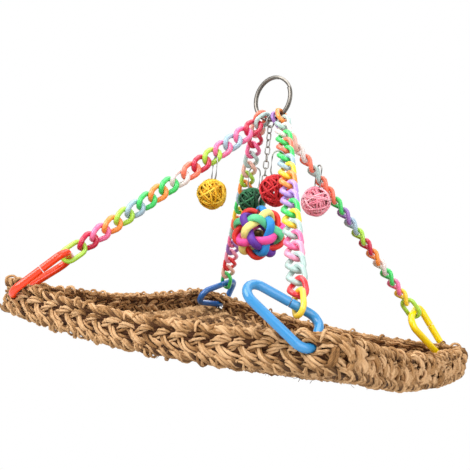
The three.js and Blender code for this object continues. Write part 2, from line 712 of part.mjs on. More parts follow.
function rainbowRing(ring) {
  const other = rainbowRings.find((candidate) => candidate !== ring);
  const first = new THREE.Vector3().crossVectors(ring.axis, other.axis).normalize();
  const second = new THREE.Vector3().crossVectors(ring.axis, first);
  const sense = passesOver(ring, first) ? 1 : -1;
  const path = [];
  const steps = 30;
  for (let i = 0; i < steps; i++) {
    const angle = (2 * Math.PI * i) / steps;
    const radius = weaveRadius + sense * weaveDepth * Math.cos(5 * angle);
    path.push(offset(rainbowCentre, [first, radius * Math.cos(angle)], [second, radius * Math.sin(angle)]));
  }
  return sweep(path, roundSection(RAINBOW_TUBE, 5), { closed: true, up: ring.axis });
}

for (const ring of rainbowRings) {
  plastic(`rainbow_ring_${ring.name}`, rainbowRing(ring), ring.color);
}
const rainbowLoopCentre = new THREE.Vector3(0, 0, rainbowLoopTop - loopHalf);
steel('rainbow_ball_loop', wireLink(loopShape, rainbowLoopCentre, UP, loopPlane, loopSection));
const endWire = [0, 0, steelEnd + STEEL_LINK_WIRE / 2];
pivots.rainbow_swing = { point: endWire, axis: steelEndAcross.toArray() };

// Bell, lying loose in the ball, with its pellet
const bellRadius = BELL_DIAMETER / 2;
const bellCentre = offset(rainbowCentre, [UP, -(crossingUnderside - bellRadius - CLEARANCE)]);

function bellShell() {
  const outer = new THREE.SphereGeometry(bellRadius, 10, 6).rotateX(Math.PI / 2);
  const inner = new THREE.SphereGeometry(bellRadius - BELL_WALL, 10, 6).rotateX(Math.PI / 2);
  let body = solid(outer).subtract(solid(inner));
  for (const turn of [0, Math.PI / 2]) {
    const slot = new THREE.BoxGeometry(BELL_SLOT, 2 * BELL_DIAMETER, bellRadius);
    slot.rotateZ(turn).translate(0, 0, -0.75 * bellRadius);
    body = body.subtract(solid(slot));
  }
  return geometryOf(body).translate(...bellCentre.toArray());
}

piece('bell', bellShell(), 0x4a3a26, 0.35, 1);
const pelletDrop = bellRadius - BELL_WALL - PELLET_DIAMETER / 2 - CLEARANCE;
const pellet = new THREE.SphereGeometry(PELLET_DIAMETER / 2, 10, 6).translate(0, 0, bellCentre.z - pelletDrop);
piece('bell_pellet', pellet, 0x8d9096, 0.3, 1);
pivots.bell_rattle = { point: bellCentre.toArray(), axis: [0, 0, 1] };

toy.userData.pivots = pivots;

export default toy;
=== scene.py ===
"""Visual model of a hanging seagrass climbing mat for cage birds.

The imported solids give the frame. Every piece here repeats their routes in millimetres and dresses
them: plaited seagrass, moulded chain links, wound rattan, soft rainbow rings and steel wire.
"""

from __future__ import annotations

import json
import logging
import math
from dataclasses import dataclass, field
from enum import Enum
from typing import Any, Callable, Optional, Sequence, Union

import bmesh
import bpy
import numpy as np
from mathutils import Matrix, Quaternion, Vector

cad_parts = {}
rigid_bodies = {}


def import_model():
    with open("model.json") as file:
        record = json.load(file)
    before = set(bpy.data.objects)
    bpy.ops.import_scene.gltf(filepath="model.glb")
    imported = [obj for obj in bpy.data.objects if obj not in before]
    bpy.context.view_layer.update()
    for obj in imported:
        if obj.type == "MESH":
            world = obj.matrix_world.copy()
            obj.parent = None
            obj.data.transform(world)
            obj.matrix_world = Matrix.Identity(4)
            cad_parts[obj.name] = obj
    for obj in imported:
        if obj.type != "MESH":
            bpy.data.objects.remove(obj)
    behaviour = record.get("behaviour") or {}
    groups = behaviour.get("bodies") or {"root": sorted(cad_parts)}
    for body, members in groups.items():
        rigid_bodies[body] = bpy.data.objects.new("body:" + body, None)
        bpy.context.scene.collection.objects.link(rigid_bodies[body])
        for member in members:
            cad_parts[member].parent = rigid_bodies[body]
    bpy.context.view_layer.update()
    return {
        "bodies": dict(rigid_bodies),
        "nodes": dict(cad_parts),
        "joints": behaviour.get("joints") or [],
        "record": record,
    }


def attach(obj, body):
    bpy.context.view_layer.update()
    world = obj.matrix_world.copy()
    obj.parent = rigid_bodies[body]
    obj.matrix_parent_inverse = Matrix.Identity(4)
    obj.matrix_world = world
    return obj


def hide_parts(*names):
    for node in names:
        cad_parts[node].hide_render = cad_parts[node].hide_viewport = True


LOG = logging.getLogger("climbing_mat")
MM = 0.001
UP = Vector((0.0, 0.0, 1.0))
WHITE = (1.0, 1.0, 1.0, 1.0)
SAME_POINT = 1e-7
TINY = 1e-6
Value = Union["Sock", float]
Inputs = Optional[dict[Any, Any]]
Pair = tuple[float, float]
Triple = tuple[float, float, float]
Color = tuple[float, float, float, float]
Thing = bpy.types.Object
Finish = bpy.types.Material


def linear(code: str) -> Color:
    """Linear colour of an sRGB hex code of six digits, with full alpha."""
    parts = [int(code[i : i + 2], 16) / 255 for i in (0, 2, 4)]
    return (*(c / 12.92 if c <= 0.04045 else ((c + 0.055) / 1.055) ** 2.4 for c in parts), 1.0)


def plan_direction(degrees: float) -> Vector:
    """Level direction at an angle from +X towards +Y."""
    return Vector((math.cos(math.radians(degrees)), math.sin(math.radians(degrees)), 0.0))


def square_to(vector: Vector, axis: Vector) -> Vector:
    """Unit part of a vector square to a unit axis."""
    return (vector - axis * vector.dot(axis)).normalized()


def turned(zero: Vector, axis: Vector, degrees: float) -> Vector:
    """A vector turned about an axis."""
    return Quaternion(axis, math.radians(degrees)) @ zero


def angle_between(first: Vector, second: Vector, axis: Vector) -> float:
    """Degrees from one direction to another about an axis."""
    return math.degrees(math.atan2(first.cross(second).dot(axis), first.dot(second)))


def spare_turn(degrees: float) -> float:
    """What a turn has over whole half turns, from -90 to 90 degrees."""
    return (math.fmod(degrees, 180) + 270) % 180 - 90


def link_turn(along: Vector, across: Vector) -> Quaternion:
    """Turn of a link whose length and width lie along two directions."""
    return Matrix((along, across, along.cross(across))).transposed().to_quaternion()


def unit(rows: np.ndarray) -> np.ndarray:
    """Vectors, one in each row, scaled to length one."""
    return rows / np.linalg.norm(rows, axis=-1, keepdims=True)


def even_angles(count: int) -> np.ndarray:
    """Angles of even steps round a circle."""
    return np.arange(count) * math.tau / count


def operator(operation: str, swapped: bool = False) -> Callable[..., "Sock"]:
    """Makes a method of a socket that adds one Math node.

    Args:
        operation: the node's operation.
        swapped: True if the socket is the second of the two values.

    Returns:
        The method.
    """

    def method(self: "Sock", other: Value = 0.0) -> "Sock":
        """Adds the node and returns its output."""
        pair = (other, self) if swapped else (self, other)
        return self.graph.out("ShaderNodeMath", dict(enumerate(pair)), operation=operation)

    return method


class Sock:
    """An output socket whose arithmetic adds Math nodes to its graph."""

    __add__ = operator("ADD")
    __radd__ = operator("ADD", swapped=True)
    __sub__ = operator("SUBTRACT")
    __mul__ = operator("MULTIPLY")
    __truediv__ = operator("DIVIDE")
    cosine = operator("COSINE")
    larger = operator("MAXIMUM")

    def __init__(self, graph: "Graph", socket: bpy.types.NodeSocket) -> None:
        """Keeps the graph and the socket."""
        self.graph = graph
        self.socket = socket

    def span(self, pair: Pair) -> "Sock":
        """The first of two values, plus the second times this one."""
        return self * pair[1] + pair[0]


class Graph:
    """A node tree with one way to add a node."""

    def __init__(self, tree: bpy.types.NodeTree) -> None:
        """Keeps the tree, emptied."""
        self.tree = tree
        tree.nodes.clear()

    def add(self, kind: str, values: Inputs = None, **settings: Any) -> bpy.types.Node:
        """Adds a node.

        Args:
            kind: the node's type name.
            values: socket name or number to a value or a Sock.
            settings: properties of the node, set first.

        Returns:
            The new node.
        """
        node = self.tree.nodes.new(kind)
        for name, value in settings.items():
            setattr(node, name, value)
        self.feed(node, values or {})
        return node

    def feed(self, node: bpy.types.Node, values: dict[Any, Any]) -> None:
        """Sets inputs of a node, or links them where the value is a Sock.

        Args:
            node: the node.
            values: socket name or number to a value or a Sock.
        """
        for key, value in values.items():
            if isinstance(value, Sock):
                self.tree.links.new(value.socket, node.inputs[key])
            else:
                node.inputs[key].default_value = value

    def out(self, kind: str, values: Inputs = None, output: Any = 0, **settings: Any) -> Sock:
        """Adds a node and returns one of its outputs."""
        return Sock(self, self.add(kind, values, **settings).outputs[output])


class Shader(Graph):
    """A material's node tree around one Principled surface."""

    def __init__(self, name: str) -> None:
        """Makes an undressed material.

        Args:
            name: its name.
        """
        self.material = bpy.data.materials.new(name)
        self.material.use_nodes = True
        super().__init__(self.material.node_tree)
        self.surface = self.add("ShaderNodeBsdfPrincipled")
        self.add("ShaderNodeOutputMaterial", {"Surface": Sock(self, self.surface.outputs[0])})

    def set(self, **values: Any) -> None:
        """Sets or links sockets of the surface, underscores standing for spaces."""
        self.feed(self.surface, {name.replace("_", " "): value for name, value in values.items()})

    def attribute(self, name: str, output: str) -> Sock:
        """One output of a mesh attribute."""
        return self.out("ShaderNodeAttribute", None, output, attribute_name=name)

    def place(self) -> Sock:
        """Object coordinates."""
        return self.out("ShaderNodeTexCoord", None, "Object")

    def noise(self, vector: Sock, scale: float, detail: float = 3.0, roughness: float = 0.55) -> Sock:
        """Noise from 0 to 1 at a scale."""
        values = {"Vector": vector, "Scale": scale, "Detail": detail, "Roughness": roughness}
        return self.out("ShaderNodeTexNoise", values, "Fac")

    def ramp(self, factor: Sock, stops: dict[float, Color]) -> Sock:
        """Colours along a factor.

        Args:
            factor: the place on the ramp.
            stops: place to colour, three of them, in order.

        Returns:
            The colour.
        """
        node = self.add("ShaderNodeValToRGB", {"Fac": factor})
        node.color_ramp.elements.new(1.0)
        for element, (place, color) in zip(node.color_ramp.elements, stops.items()):
            element.position = place
            element.color = color
        return Sock(self, node.outputs["Color"])

    def mix(self, factor: Value, first: Any, second: Any, blend: str = "MIX") -> Sock:
        """Two colours mixed."""
        values = {0: factor, 6: first, 7: second}
        return self.out("ShaderNodeMix", values, 2, data_type="RGBA", blend_type=blend)

    def shaded(self, color: Any, shade: Sock) -> Sock:
        """A colour darkened or lightened by a value."""
        grey = self.out("ShaderNodeCombineColor", {0: shade, 1: shade, 2: shade})
        return self.mix(1.0, color, grey, "MULTIPLY")

    def bump(self, height: Sock, strength: float, distance: float) -> None:
        """Feeds a height to the surface's normal."""
        values = {"Height": height, "Strength": strength, "Distance": distance}
        self.set(Normal=self.out("ShaderNodeBump", values, "Normal"))


@dataclass(frozen=True)
class Surface:
    """A finish: a named material that its class dresses.

    A noise is given by its scale and detail, and what it varies by a value and what the noise adds.
    """

    name: str

    def make(self) -> Finish:
        """Makes the material.

        Returns:
            The dressed material.
        """
        shader = Shader(self.name)
        self.dress(shader)
        return shader.material

    def dress(self, shader: Shader) -> None:
        """Sets the surface of a shader."""
        raise NotImplementedError


@dataclass(frozen=True)
class MouldedPlastic(Surface):
    """Glossy moulded plastic, coloured by the mesh's tint attribute."""

    clear: float = 0.0
    cloud: Pair = (130.0, 2.0)
    flow: Pair = (240.0, 2.0)
    shade: Pair = (0.93, 0.14)
    roughness: Pair = (0.16, 0.08)
    coat: Pair = (0.4, 0.1)
    index: float = 1.49
    bump: Pair = (0.02, 0.0004)

    def dress(self, shader: Shader) -> None:
        """Sets the surface.

        Args:
            shader: the shader that takes it.
        """
        place = shader.place()
        cloud = shader.noise(place, *self.cloud)
        flow = shader.noise(place, *self.flow)
        shade = cloud.span(self.shade)
        shader.set(Base_Color=shader.shaded(shader.attribute("tint", "Color"), shade))
        shader.set(Roughness=flow.span(self.roughness), IOR=self.index)
        shader.set(Coat_Weight=self.coat[0], Coat_Roughness=self.coat[1], Transmission_Weight=self.clear)
        shader.bump(cloud, *self.bump)


@dataclass(frozen=True)
class SoftTube(Surface):
    """Soft matt plastic of the rainbow rings, faintly ribbed along the tube."""

    color: str
    rib_turn: float = 7200.0
    rib_shade: float = 0.05
    cloud_scale: float = 90.0
    shade: Pair = (0.84, 0.24)
    roughness: Pair = (0.46, 0.2)
    index: float = 1.45
    depth: Pair = (0.12, 0.002)
    bump: Pair = (0.2, 0.00025)

    def dress(self, shader: Shader) -> None:
        """Sets the surface.

        Args:
            shader: the shader that takes it.
        """
        ribs = (shader.attribute("along", "Fac") * self.rib_turn).cosine() * 0.5 + 0.5
        cloud = shader.noise(shader.place(), self.cloud_scale)
        shade = cloud.span(self.shade) + ribs * self.rib_shade
        shader.set(Base_Color=shader.shaded(linear(self.color), shade))
        shader.set(Roughness=cloud.span(self.roughness), IOR=self.index)
        shader.set(Subsurface_Weight=self.depth[0], Subsurface_Scale=self.depth[1])
        shader.bump(ribs, *self.bump)


@dataclass(frozen=True)
class SteelWire(Surface):
    """Bright drawn wire with fine scratches and duller spots."""

    color: str
    roughness: float
    spots: Pair = (420.0, 4.0)
    scratches: Pair = (2600.0, 2.0)
    dullness: float = 0.62
    spot_share: float = 0.8
    spot_roughness: float = 0.14
    scratch_roughness: float = 0.08
    bump: Pair = (0.04, 0.0001)

    def dress(self, shader: Shader) -> None:
        """Sets the surface.

        Args:
            shader: the shader that takes it.
        """
        place = shader.place()
        spots = shader.noise(place, *self.spots)
        scratches = shader.noise(place, *self.scratches)
        bright = linear(self.color)
        dull = (*(self.dullness * c for c in bright[:3]), 1.0)
        shader.set(Base_Color=shader.mix(spots * self.spot_share, bright, dull), Metallic=1.0)
        rough = spots * self.spot_roughness + scratches * self.scratch_roughness
        shader.set(Roughness=rough + self.roughness)
        shader.bump(scratches, *self.bump)


@dataclass(frozen=True)
class DarkBronze(Surface):
    """Dark stamped bronze of the bell."""

    color: str = "8a6f45"
    dark: str = "3c2e1c"
    spots: Pair = (380.0, 4.0)
    roughness: Pair = (0.28, 0.2)

    def dress(self, shader: Shader) -> None:
        """Sets the surface.

        Args:
            shader: the shader that takes it.
        """
        spots = shader.noise(shader.place(), *self.spots)
        shader.set(Base_Color=shader.mix(spots, linear(self.color), linear(self.dark)), Metallic=1.0)
        shader.set(Roughness=spots.span(self.roughness))


@dataclass(frozen=True)
class Fibre(Surface):
    """Dry plant fibre: streaks run along each strand, with patches of paler and darker growth."""

    dark: str
    middle: str
    pale: str
    streak: float = 1.0
    patch: float = 0.35
    strand: float = 0.4
    centre: float = 0.53
    roughness: Pair = (0.72, 0.22)
    index: float = 1.4
    along_scale: float = 55.0
    strand_shift: float = 37.0
    rim_scale: float = 2.6
    streak_noise: Triple = (2.4, 5.0, 0.65)
    patch_scale: float = 42.0
    stops: Triple = (0.3, 0.5, 0.68)
    bump: Pair = (0.55, 0.0009)

    def dress(self, shader: Shader) -> None:
        """Sets the surface.

        Args:
            shader: the shader that takes it.
        """
        # The tone attribute holds each strand's own tone and, on the plaits, painted shade where a cord lies
        # deep.
        tone = shader.attribute("tone", "Fac")
        run = shader.attribute("along", "Fac") * self.along_scale + tone * self.strand_shift
        lift = shader.out("ShaderNodeCombineXYZ", {2: run})
        values = {0: shader.attribute("rim", "Vector"), "Scale": self.rim_scale}
        round_rim = shader.out("ShaderNodeVectorMath", values, operation="SCALE")
        route = shader.out("ShaderNodeVectorMath", {0: round_rim, 1: lift}, operation="ADD")
        streak = shader.noise(route, *self.streak_noise)
        patch = shader.noise(shader.place(), self.patch_scale)
        varied = (streak - 0.5) * self.streak + (patch - 0.5) * self.patch + (tone - 0.5) * self.strand
        colors = (linear(code) for code in (self.dark, self.middle, self.pale))
        shader.set(Base_Color=shader.ramp(varied + self.centre, dict(zip(self.stops, colors))))
        shader.set(Roughness=streak.span(self.roughness), IOR=self.index)
        shader.bump(streak, *self.bump)


class LinkColor(Enum):
    """Colours of the chain links, with 1 where the plastic is clear."""

    MINT = ("b9d3cc", 1)
    SKY = ("a9c6d6", 1)
    CLEAR = ("f1e4e0", 1)
    PEACH = ("f6c3b0", 1)
    PINK = ("f2709f", 0)
    ROSE = ("f59ab6", 0)
    CRIMSON = ("c61f42", 0)
    RED = ("df3038", 0)
    CORAL = ("f4775c", 0)
    ORANGE = ("fb9341", 0)
    YELLOW = ("fbd239", 0)
    LIME = ("abd945", 0)
    GREEN = ("3fd065", 0)
    PURPLE = ("9a6bb8", 0)
    LILAC = ("b592d6", 0)


def place_mesh(mesh: bpy.types.Mesh, name: str) -> Thing:
    """Puts a mesh at the origin as an object of the scene.

    Args:
        mesh: the mesh.
        name: the object's name.

    Returns:
        The new object.
    """
    thing = bpy.data.objects.new(name, mesh)
    bpy.context.scene.collection.objects.link(thing)
    return thing


def show(name: str, points: Any, edges: Sequence[Any] = (), faces: Sequence[Any] = ()) -> Thing:
    """Makes a smooth mesh object.

    Args:
        name: the object's name.
        points: points in millimetres, one row each.
        edges: pairs of point numbers.
        faces: rounds of point numbers.

    Returns:
        The new object.
    """
    mesh = bpy.data.meshes.new(name)
    mesh.from_pydata((np.array(points) * MM).tolist(), edges, faces)
    mesh.shade_smooth()
    return place_mesh(mesh, name)


def keep(thing: Thing, name: str, kind: str, values: Any) -> None:
    """Keeps a named attribute of a data type, one row for each point of an object's mesh."""
    data = thing.data.attributes.new(name, kind, "POINT").data
    data.foreach_set("color" if kind == "FLOAT_COLOR" else "value", np.array(values, np.float32).ravel())


class Strands:
    """Centre lines of strands, kept as edges for a node tree that gives them their thickness."""

    def __init__(self) -> None:
        """Starts with no strand."""
        self.points: list[np.ndarray] = []
        self.edges: list[tuple[int, int]] = []
        self.tones: list[np.ndarray] = []
        self.girths: list[np.ndarray] = []
        self.count = 0

    def add(self, path: np.ndarray, closed: bool, tone: Any = 0.0, girth: Any = 1.0) -> None:
        """Adds one strand.

        Args:
            path: points in millimetres, one row each.
            closed: True if the last point joins the first.
            tone: tone of this strand, 0 to 1, for all of it or at each point; on the plaits it also holds
                painted shade where a cord lies deep.
            girth: thickness factor, for all of it or at each point.
        """
        size = len(path)
        ends = range(size if closed else size - 1)
        self.points.append(path)
        self.edges += [(self.count + i, self.count + (i + 1) % size) for i in ends]
        self.tones.append(np.broadcast_to(tone, size))
        self.girths.append(np.broadcast_to(girth, size))
        self.count += size

    def object(self, name: str) -> Thing:
        """Makes a mesh object of all the centre lines.

        Args:
            name: the object's name.

        Returns:
            The object, with the tone and girth of each point.
        """
        lines = show(name, np.concatenate(self.points), self.edges)
        keep(lines, "tone", "FLOAT", np.concatenate(self.tones))
        keep(lines, "girth", "FLOAT", np.concatenate(self.girths))
        return lines


class Tree(Graph):
    """A Geometry Nodes tree with named inputs, applied to an object as a plain mesh."""

    def __init__(self, name: str, inputs: dict[str, str]) -> None:
        """Makes the tree.

        Args:
            name: the tree's name.
            inputs: socket type to the names of the inputs of that type, with commas between them.
        """
        super().__init__(bpy.data.node_groups.new(name, "GeometryNodeTree"))
        face = self.tree.interface
        face.new_socket("Geometry", in_out="INPUT", socket_type="NodeSocketGeometry")
        face.new_socket("Geometry", in_out="OUTPUT", socket_type="NodeSocketGeometry")
        self.keys = {
            label: face.new_socket(label, in_out="INPUT", socket_type=f"NodeSocket{kind}").identifier
            for kind, labels in inputs.items()
            for label in labels.split(", ")
        }
        self.source = self.add("NodeGroupInput")

    def input(self, name: str) -> Sock:
        """Output of the group input for a named input."""
        return Sock(self, self.source.outputs[name])

    def named(self, kind: str, name: str) -> Sock:
        """A named attribute of the geometry."""
        return self.out("GeometryNodeInputNamedAttribute", {"Name": name}, data_type=kind)

    def store(self, geometry: Sock, kind: str, name: str, value: Sock) -> Sock:
        """Stores a value on the points of a geometry."""
        values = {0: geometry, "Name": name, "Value": value}
        return self.out("GeometryNodeStoreNamedAttribute", values, data_type=kind, domain="POINT")

    def circle(self, radius: Value, sides: Union[Sock, int]) -> Sock:
        """A round profile."""
        values = {"Resolution": sides, "Radius": radius}
        return self.out("GeometryNodeCurvePrimitiveCircle", values, mode="RADIUS")

    def close(self, geometry: Sock, clear: Optional[Sock] = None) -> None:
        """Realizes instances, smooths the faces, sets the finish and ends the tree.

        Args:
            geometry: the shape.
            clear: where the clear finish takes the place of the other one.
        """
        shape = self.out("GeometryNodeRealizeInstances", {0: geometry})
        shape = self.out("GeometryNodeSetShadeSmooth", {0: shape})
        shape = self.out("GeometryNodeSetMaterial", {0: shape, "Material": self.input("Finish")})
        if clear is not None:
            values = {0: shape, "Selection": clear, "Material": self.input("Clear Finish")}
            shape = self.out("GeometryNodeSetMaterial", values)
        self.add("NodeGroupOutput", {0: shape})

    def apply(self, thing: Thing, values: dict[str, Any]) -> Thing:
        """Runs the tree on an object and keeps the result as its mesh.

        Args:
            thing: the object, which is changed.
            values: input name to value.

        Returns:
            The same object.
        """
        modifier = thing.modifiers.new("shape", "NODES")
        modifier.node_group = self.tree
        for name, value in values.items():
            modifier[self.keys[name]] = value
        graph = bpy.context.evaluated_depsgraph_get()
        mesh = bpy.data.meshes.new_from_object(thing.evaluated_get(graph))
        thing.modifiers.remove(modifier)
        old, thing.data = thing.data, mesh
        bpy.data.meshes.remove(old)
        mesh.name = thing.name
        return thing


class CordTree(Tree):
    """Gives centre lines the thickness of a twisted cord, with its length and rim kept for the grain."""

    def __init__(self) -> None:
        """Builds the tree."""
        sizes = "Width, Height, Lobe Depth, Lobes, Lay Length"
        super().__init__("cord", {"Float": sizes, "Int": "Sides", "Material": "Finish"})
        length = self.out("GeometryNodeSplineParameter", None, "Length")
        tilt = length / self.input("Lay Length") * math.tau
        curve = self.out("GeometryNodeMeshToCurve", {0: self.input("Geometry")})
        curve = self.out("GeometryNodeSetCurveNormal", {0: curve}, mode="Z_UP")
        curve = self.store(curve, "FLOAT", "along", length)
        curve = self.out("GeometryNodeSetCurveTilt", {0: curve, "Tilt": tilt})
        position = self.out("GeometryNodeInputPosition")
        circle = self.store(self.circle(1.0, self.input("Sides")), "FLOAT_VECTOR", "rim", position)
        turn = self.out("GeometryNodeSplineParameter", None, "Factor") * math.tau
        lobe = (turn * self.input("Lobes")).cosine() * self.input("Lobe Depth") + 1.0
        apart = self.add("ShaderNodeSeparateXYZ", {0: position})
        wide = Sock(self, apart.outputs[0]) * lobe * self.input("Width") * 0.5
        high = Sock(self, apart.outputs[1]) * lobe * self.input("Height") * 0.5
        shaped = self.out("ShaderNodeCombineXYZ", {0: wide, 1: high})
        circle = self.out("GeometryNodeSetPosition", {0: circle, "Position": shaped})
        values = {0: curve, 1: circle, "Scale": self.named("FLOAT", "girth"), "Fill Caps": True}
        self.close(self.out("GeometryNodeCurveToMesh", values))


class LinkTree(Tree):
    """Sets a link of round wire on every point, turned and tinted by the points' attributes."""

    def __init__(self) -> None:
        """Builds the tree."""
        inputs = {"Object": "Link Path", "Float": "Wire Diameter", "Int": "Wire Sides"}
        super().__init__("links", inputs | {"Material": "Finish, Clear Finish"})
        values = {0: self.input("Link Path")}
        path = self.out("GeometryNodeObjectInfo", values, "Geometry", transform_space="ORIGINAL")
        line = self.out("GeometryNodeMeshToCurve", {0: path})
        circle = self.circle(self.input("Wire Diameter") * 0.5, self.input("Wire Sides"))
        link = self.out("GeometryNodeCurveToMesh", {0: line, 1: circle})
        turn = self.named("QUATERNION", "turn")
        values = {"Points": self.input("Geometry"), "Instance": link, "Rotation": turn}
        row = self.out("GeometryNodeInstanceOnPoints", values)
        values = {0: self.named("FLOAT", "clear"), 1: 0.5}
        clear = self.out("FunctionNodeCompare", values, data_type="FLOAT", operation="GREATER_THAN")
        self.close(row, clear)


class FibreTree(Tree):
    """Scatters stray bent fibres over a surface."""

    STEPS = 6
    SIDES = 3
    BEND = (0.1, 0.35)
    TIP_RISE = 0.3
    LEAST_LEAN = (-0.5, -0.9, -3.1)
    MOST_LEAN = (0.5, 0.3, 3.1)
    SHORTEST = 0.35

    def __init__(self) -> None:
        """Builds the tree."""
        inputs = {"Float": "Density, Fibre Length, Fibre Diameter", "Int": "Seed", "Material": "Finish"}
        super().__init__("stray_fibres", inputs)
        seed, size = self.input("Seed"), self.input("Fibre Length")
        values = {0: self.input("Geometry"), "Density": self.input("Density"), "Seed": seed}
        spread = self.add("GeometryNodeDistributePointsOnFaces", values, distribute_method="RANDOM")
        bend = self.out("ShaderNodeCombineXYZ", {0: size * self.BEND[0], 2: size * self.BEND[1]})
        tip = self.out("ShaderNodeCombineXYZ", {0: size, 2: size * self.TIP_RISE})
        values = {"Resolution": self.STEPS, "Start": (0, 0, 0), "Middle": bend, "End": tip}
        line = self.out("GeometryNodeCurveQuadraticBezier", values)
        circle = self.circle(self.input("Fibre Diameter") * 0.5, self.SIDES)
        hair = self.out("GeometryNodeCurveToMesh", {0: line, 1: circle, "Fill Caps": True})
        values = {"Min": self.LEAST_LEAN, "Max": self.MOST_LEAN, "Seed": seed}
        lean = self.out("FunctionNodeRandomValue", values, data_type="FLOAT_VECTOR")
        values = {"Rotation": Sock(self, spread.outputs["Rotation"]), "Rotate By": lean}
        turn = self.out("FunctionNodeRotateRotation", values, rotation_space="LOCAL")
        values = {2: self.SHORTEST, 3: 1.0, "Seed": seed}
        scale = self.out("FunctionNodeRandomValue", values, 1, data_type="FLOAT")
        values = {"Points": Sock(self, spread.outputs[0]), "Instance": hair, "Rotation": turn, "Scale": scale}
        self.close(self.out("GeometryNodeInstanceOnPoints", values))


@dataclass(frozen=True)
class Cord:
    """Section of a cord or wire, in millimetres."""

    width: float
    sides: int
    flatness: float = 1.0
    lobe_depth: float = 0.0
    lobes: float = 1.0
    lay: float = 1000.0

    def values(self, finish: Finish) -> dict[str, Any]:
        """Inputs of the cord tree.

        Args:
            finish: the material.

        Returns:
            Input name to value.
        """
        return {
            "Width": self.width * MM,
            "Height": self.width * self.flatness * MM,
            "Lobe Depth": self.lobe_depth,
            "Lobes": self.lobes,
            "Lay Length": self.lay * MM,
            "Sides": self.sides,
            "Finish": finish,
        }


def round_path(centre: Any, first: Any, second: Any, radius: Any, count: int) -> np.ndarray:
    """Round path from one direction towards another, with one radius or one for each point."""
    spokes = np.outer(np.cos(even_angles(count)), first) + np.outer(np.sin(even_angles(count)), second)
    return np.array(centre) + spokes * np.reshape(radius, (-1, 1))


def round_section(diameter: float, sides: int, height: Optional[float] = None) -> np.ndarray:
    """Round or oval outline."""
    angle = even_angles(sides)
    return np.stack([np.cos(angle) * diameter / 2, np.sin(angle) * (height or diameter) / 2], axis=1)


def stadium(half: float, side: float, twist: float, steps: int) -> np.ndarray:
    """Closed centre line of a link, lengthwise along x.

    Args:
        half: half its length.
        side: half its width.
        twist: turn of each end about x, in degrees.
        steps: straight pieces in each bow.

    Returns:
        The points, one row each.
    """
    angle = math.pi * (np.arange(steps + 1) / steps - 0.5)
    bow = np.stack([half - side + side * np.cos(angle), side * np.sin(angle)])
    x, y = np.concatenate([bow, -bow], axis=1)
    turn = math.radians(twist) * x / half
    return np.stack([x, y * np.cos(turn), y * np.sin(turn)], axis=1)


def ring_faces(count: int, around: int, closed: bool) -> np.ndarray:
    """Faces between rings of points.

    Args:
        count: number of rings.
        around: points in each ring.
        closed: True if the last ring joins the first.

    Returns:
        Four point numbers in each row.
    """
    here = np.arange(count * around).reshape(count, around)
    there = np.roll(here, -1, 0)
    faces = np.stack([here, np.roll(here, -1, 1), np.roll(there, -1, 1), there], axis=2)
    return faces[: count if closed else count - 1].reshape(-1, 4)


def sweep(
    name: str, path: np.ndarray, section: np.ndarray, up: Any, closed: bool, finish: Finish
) -> Thing:
    """Object swept by a section along a path.

    Args:
        name: the object's name.
        path: points in millimetres, one row each.
        section: closed outline, sideways and along the up direction, left turning.
        up: direction that the section's second axis is turned towards.
        closed: True if the path joins its start, False if its ends are capped.
        finish: the material.

    Returns:
        The new object, its length in metres kept in the attribute "along".
    """
    count, around = len(path), len(section)
    tangents = np.roll(path, -1, 0) - np.roll(path, 1, 0) if closed else np.gradient(path, axis=0)
    tangents = unit(tangents)
    sides = unit(np.cross(np.array(up), tangents))
    tops = np.cross(tangents, sides)
    points = path[:, None] + section[None, :, :1] * sides[:, None] + section[None, :, 1:] * tops[:, None]
    faces = ring_faces(count, around, closed).tolist()
    if not closed:
        first = list(range(around))
        faces += [first[::-1], [(count - 1) * around + j for j in first]]
    thing = show(name, points.reshape(-1, 3), (), faces)
    run = np.append(0.0, np.cumsum(np.linalg.norm(np.diff(path, axis=0), axis=1))) * MM
    keep(thing, "along", "FLOAT", np.repeat(run, around))
    thing.data.materials.append(finish)
    return thing


def turned_body(
    name: str,
    centre: Vector,
    profile: np.ndarray,
    columns: int,
    stays: Optional[Callable[[np.ndarray], np.ndarray]] = None,
) -> Thing:
    """Body turned from a half profile about the upright axis.

    Args:
        name: the object's name.
        centre: its middle.
        profile: radius and height of each ring, from the top down.
        columns: points in each ring.
        stays: takes the middles of the faces and tells which of them stay.

    Returns:
        The new object, its doubled points merged and its faces outward.
    """
    angle = even_angles(columns)
    rings = [np.stack([r * np.cos(angle), r * np.sin(angle), np.full(columns, z)], 1) for r, z in profile]
    points = np.concatenate(rings)
    faces = ring_faces(len(profile), columns, False)[:, [0, 3, 2, 1]]
    if stays:
        faces = faces[stays(points[faces].mean(axis=1))]
    ends = [list(range(columns)), list(range(len(points) - 1, len(points) - columns - 1, -1))]
    thing = show(name, points + np.array(centre), (), faces.tolist() + ends)
    work = bmesh.new()
    work.from_mesh(thing.data)
    bmesh.ops.remove_doubles(work, verts=work.verts, dist=SAME_POINT)
    bmesh.ops.recalc_face_normals(work, faces=work.faces)
    work.to_mesh(thing.data)
    work.free()
    return thing


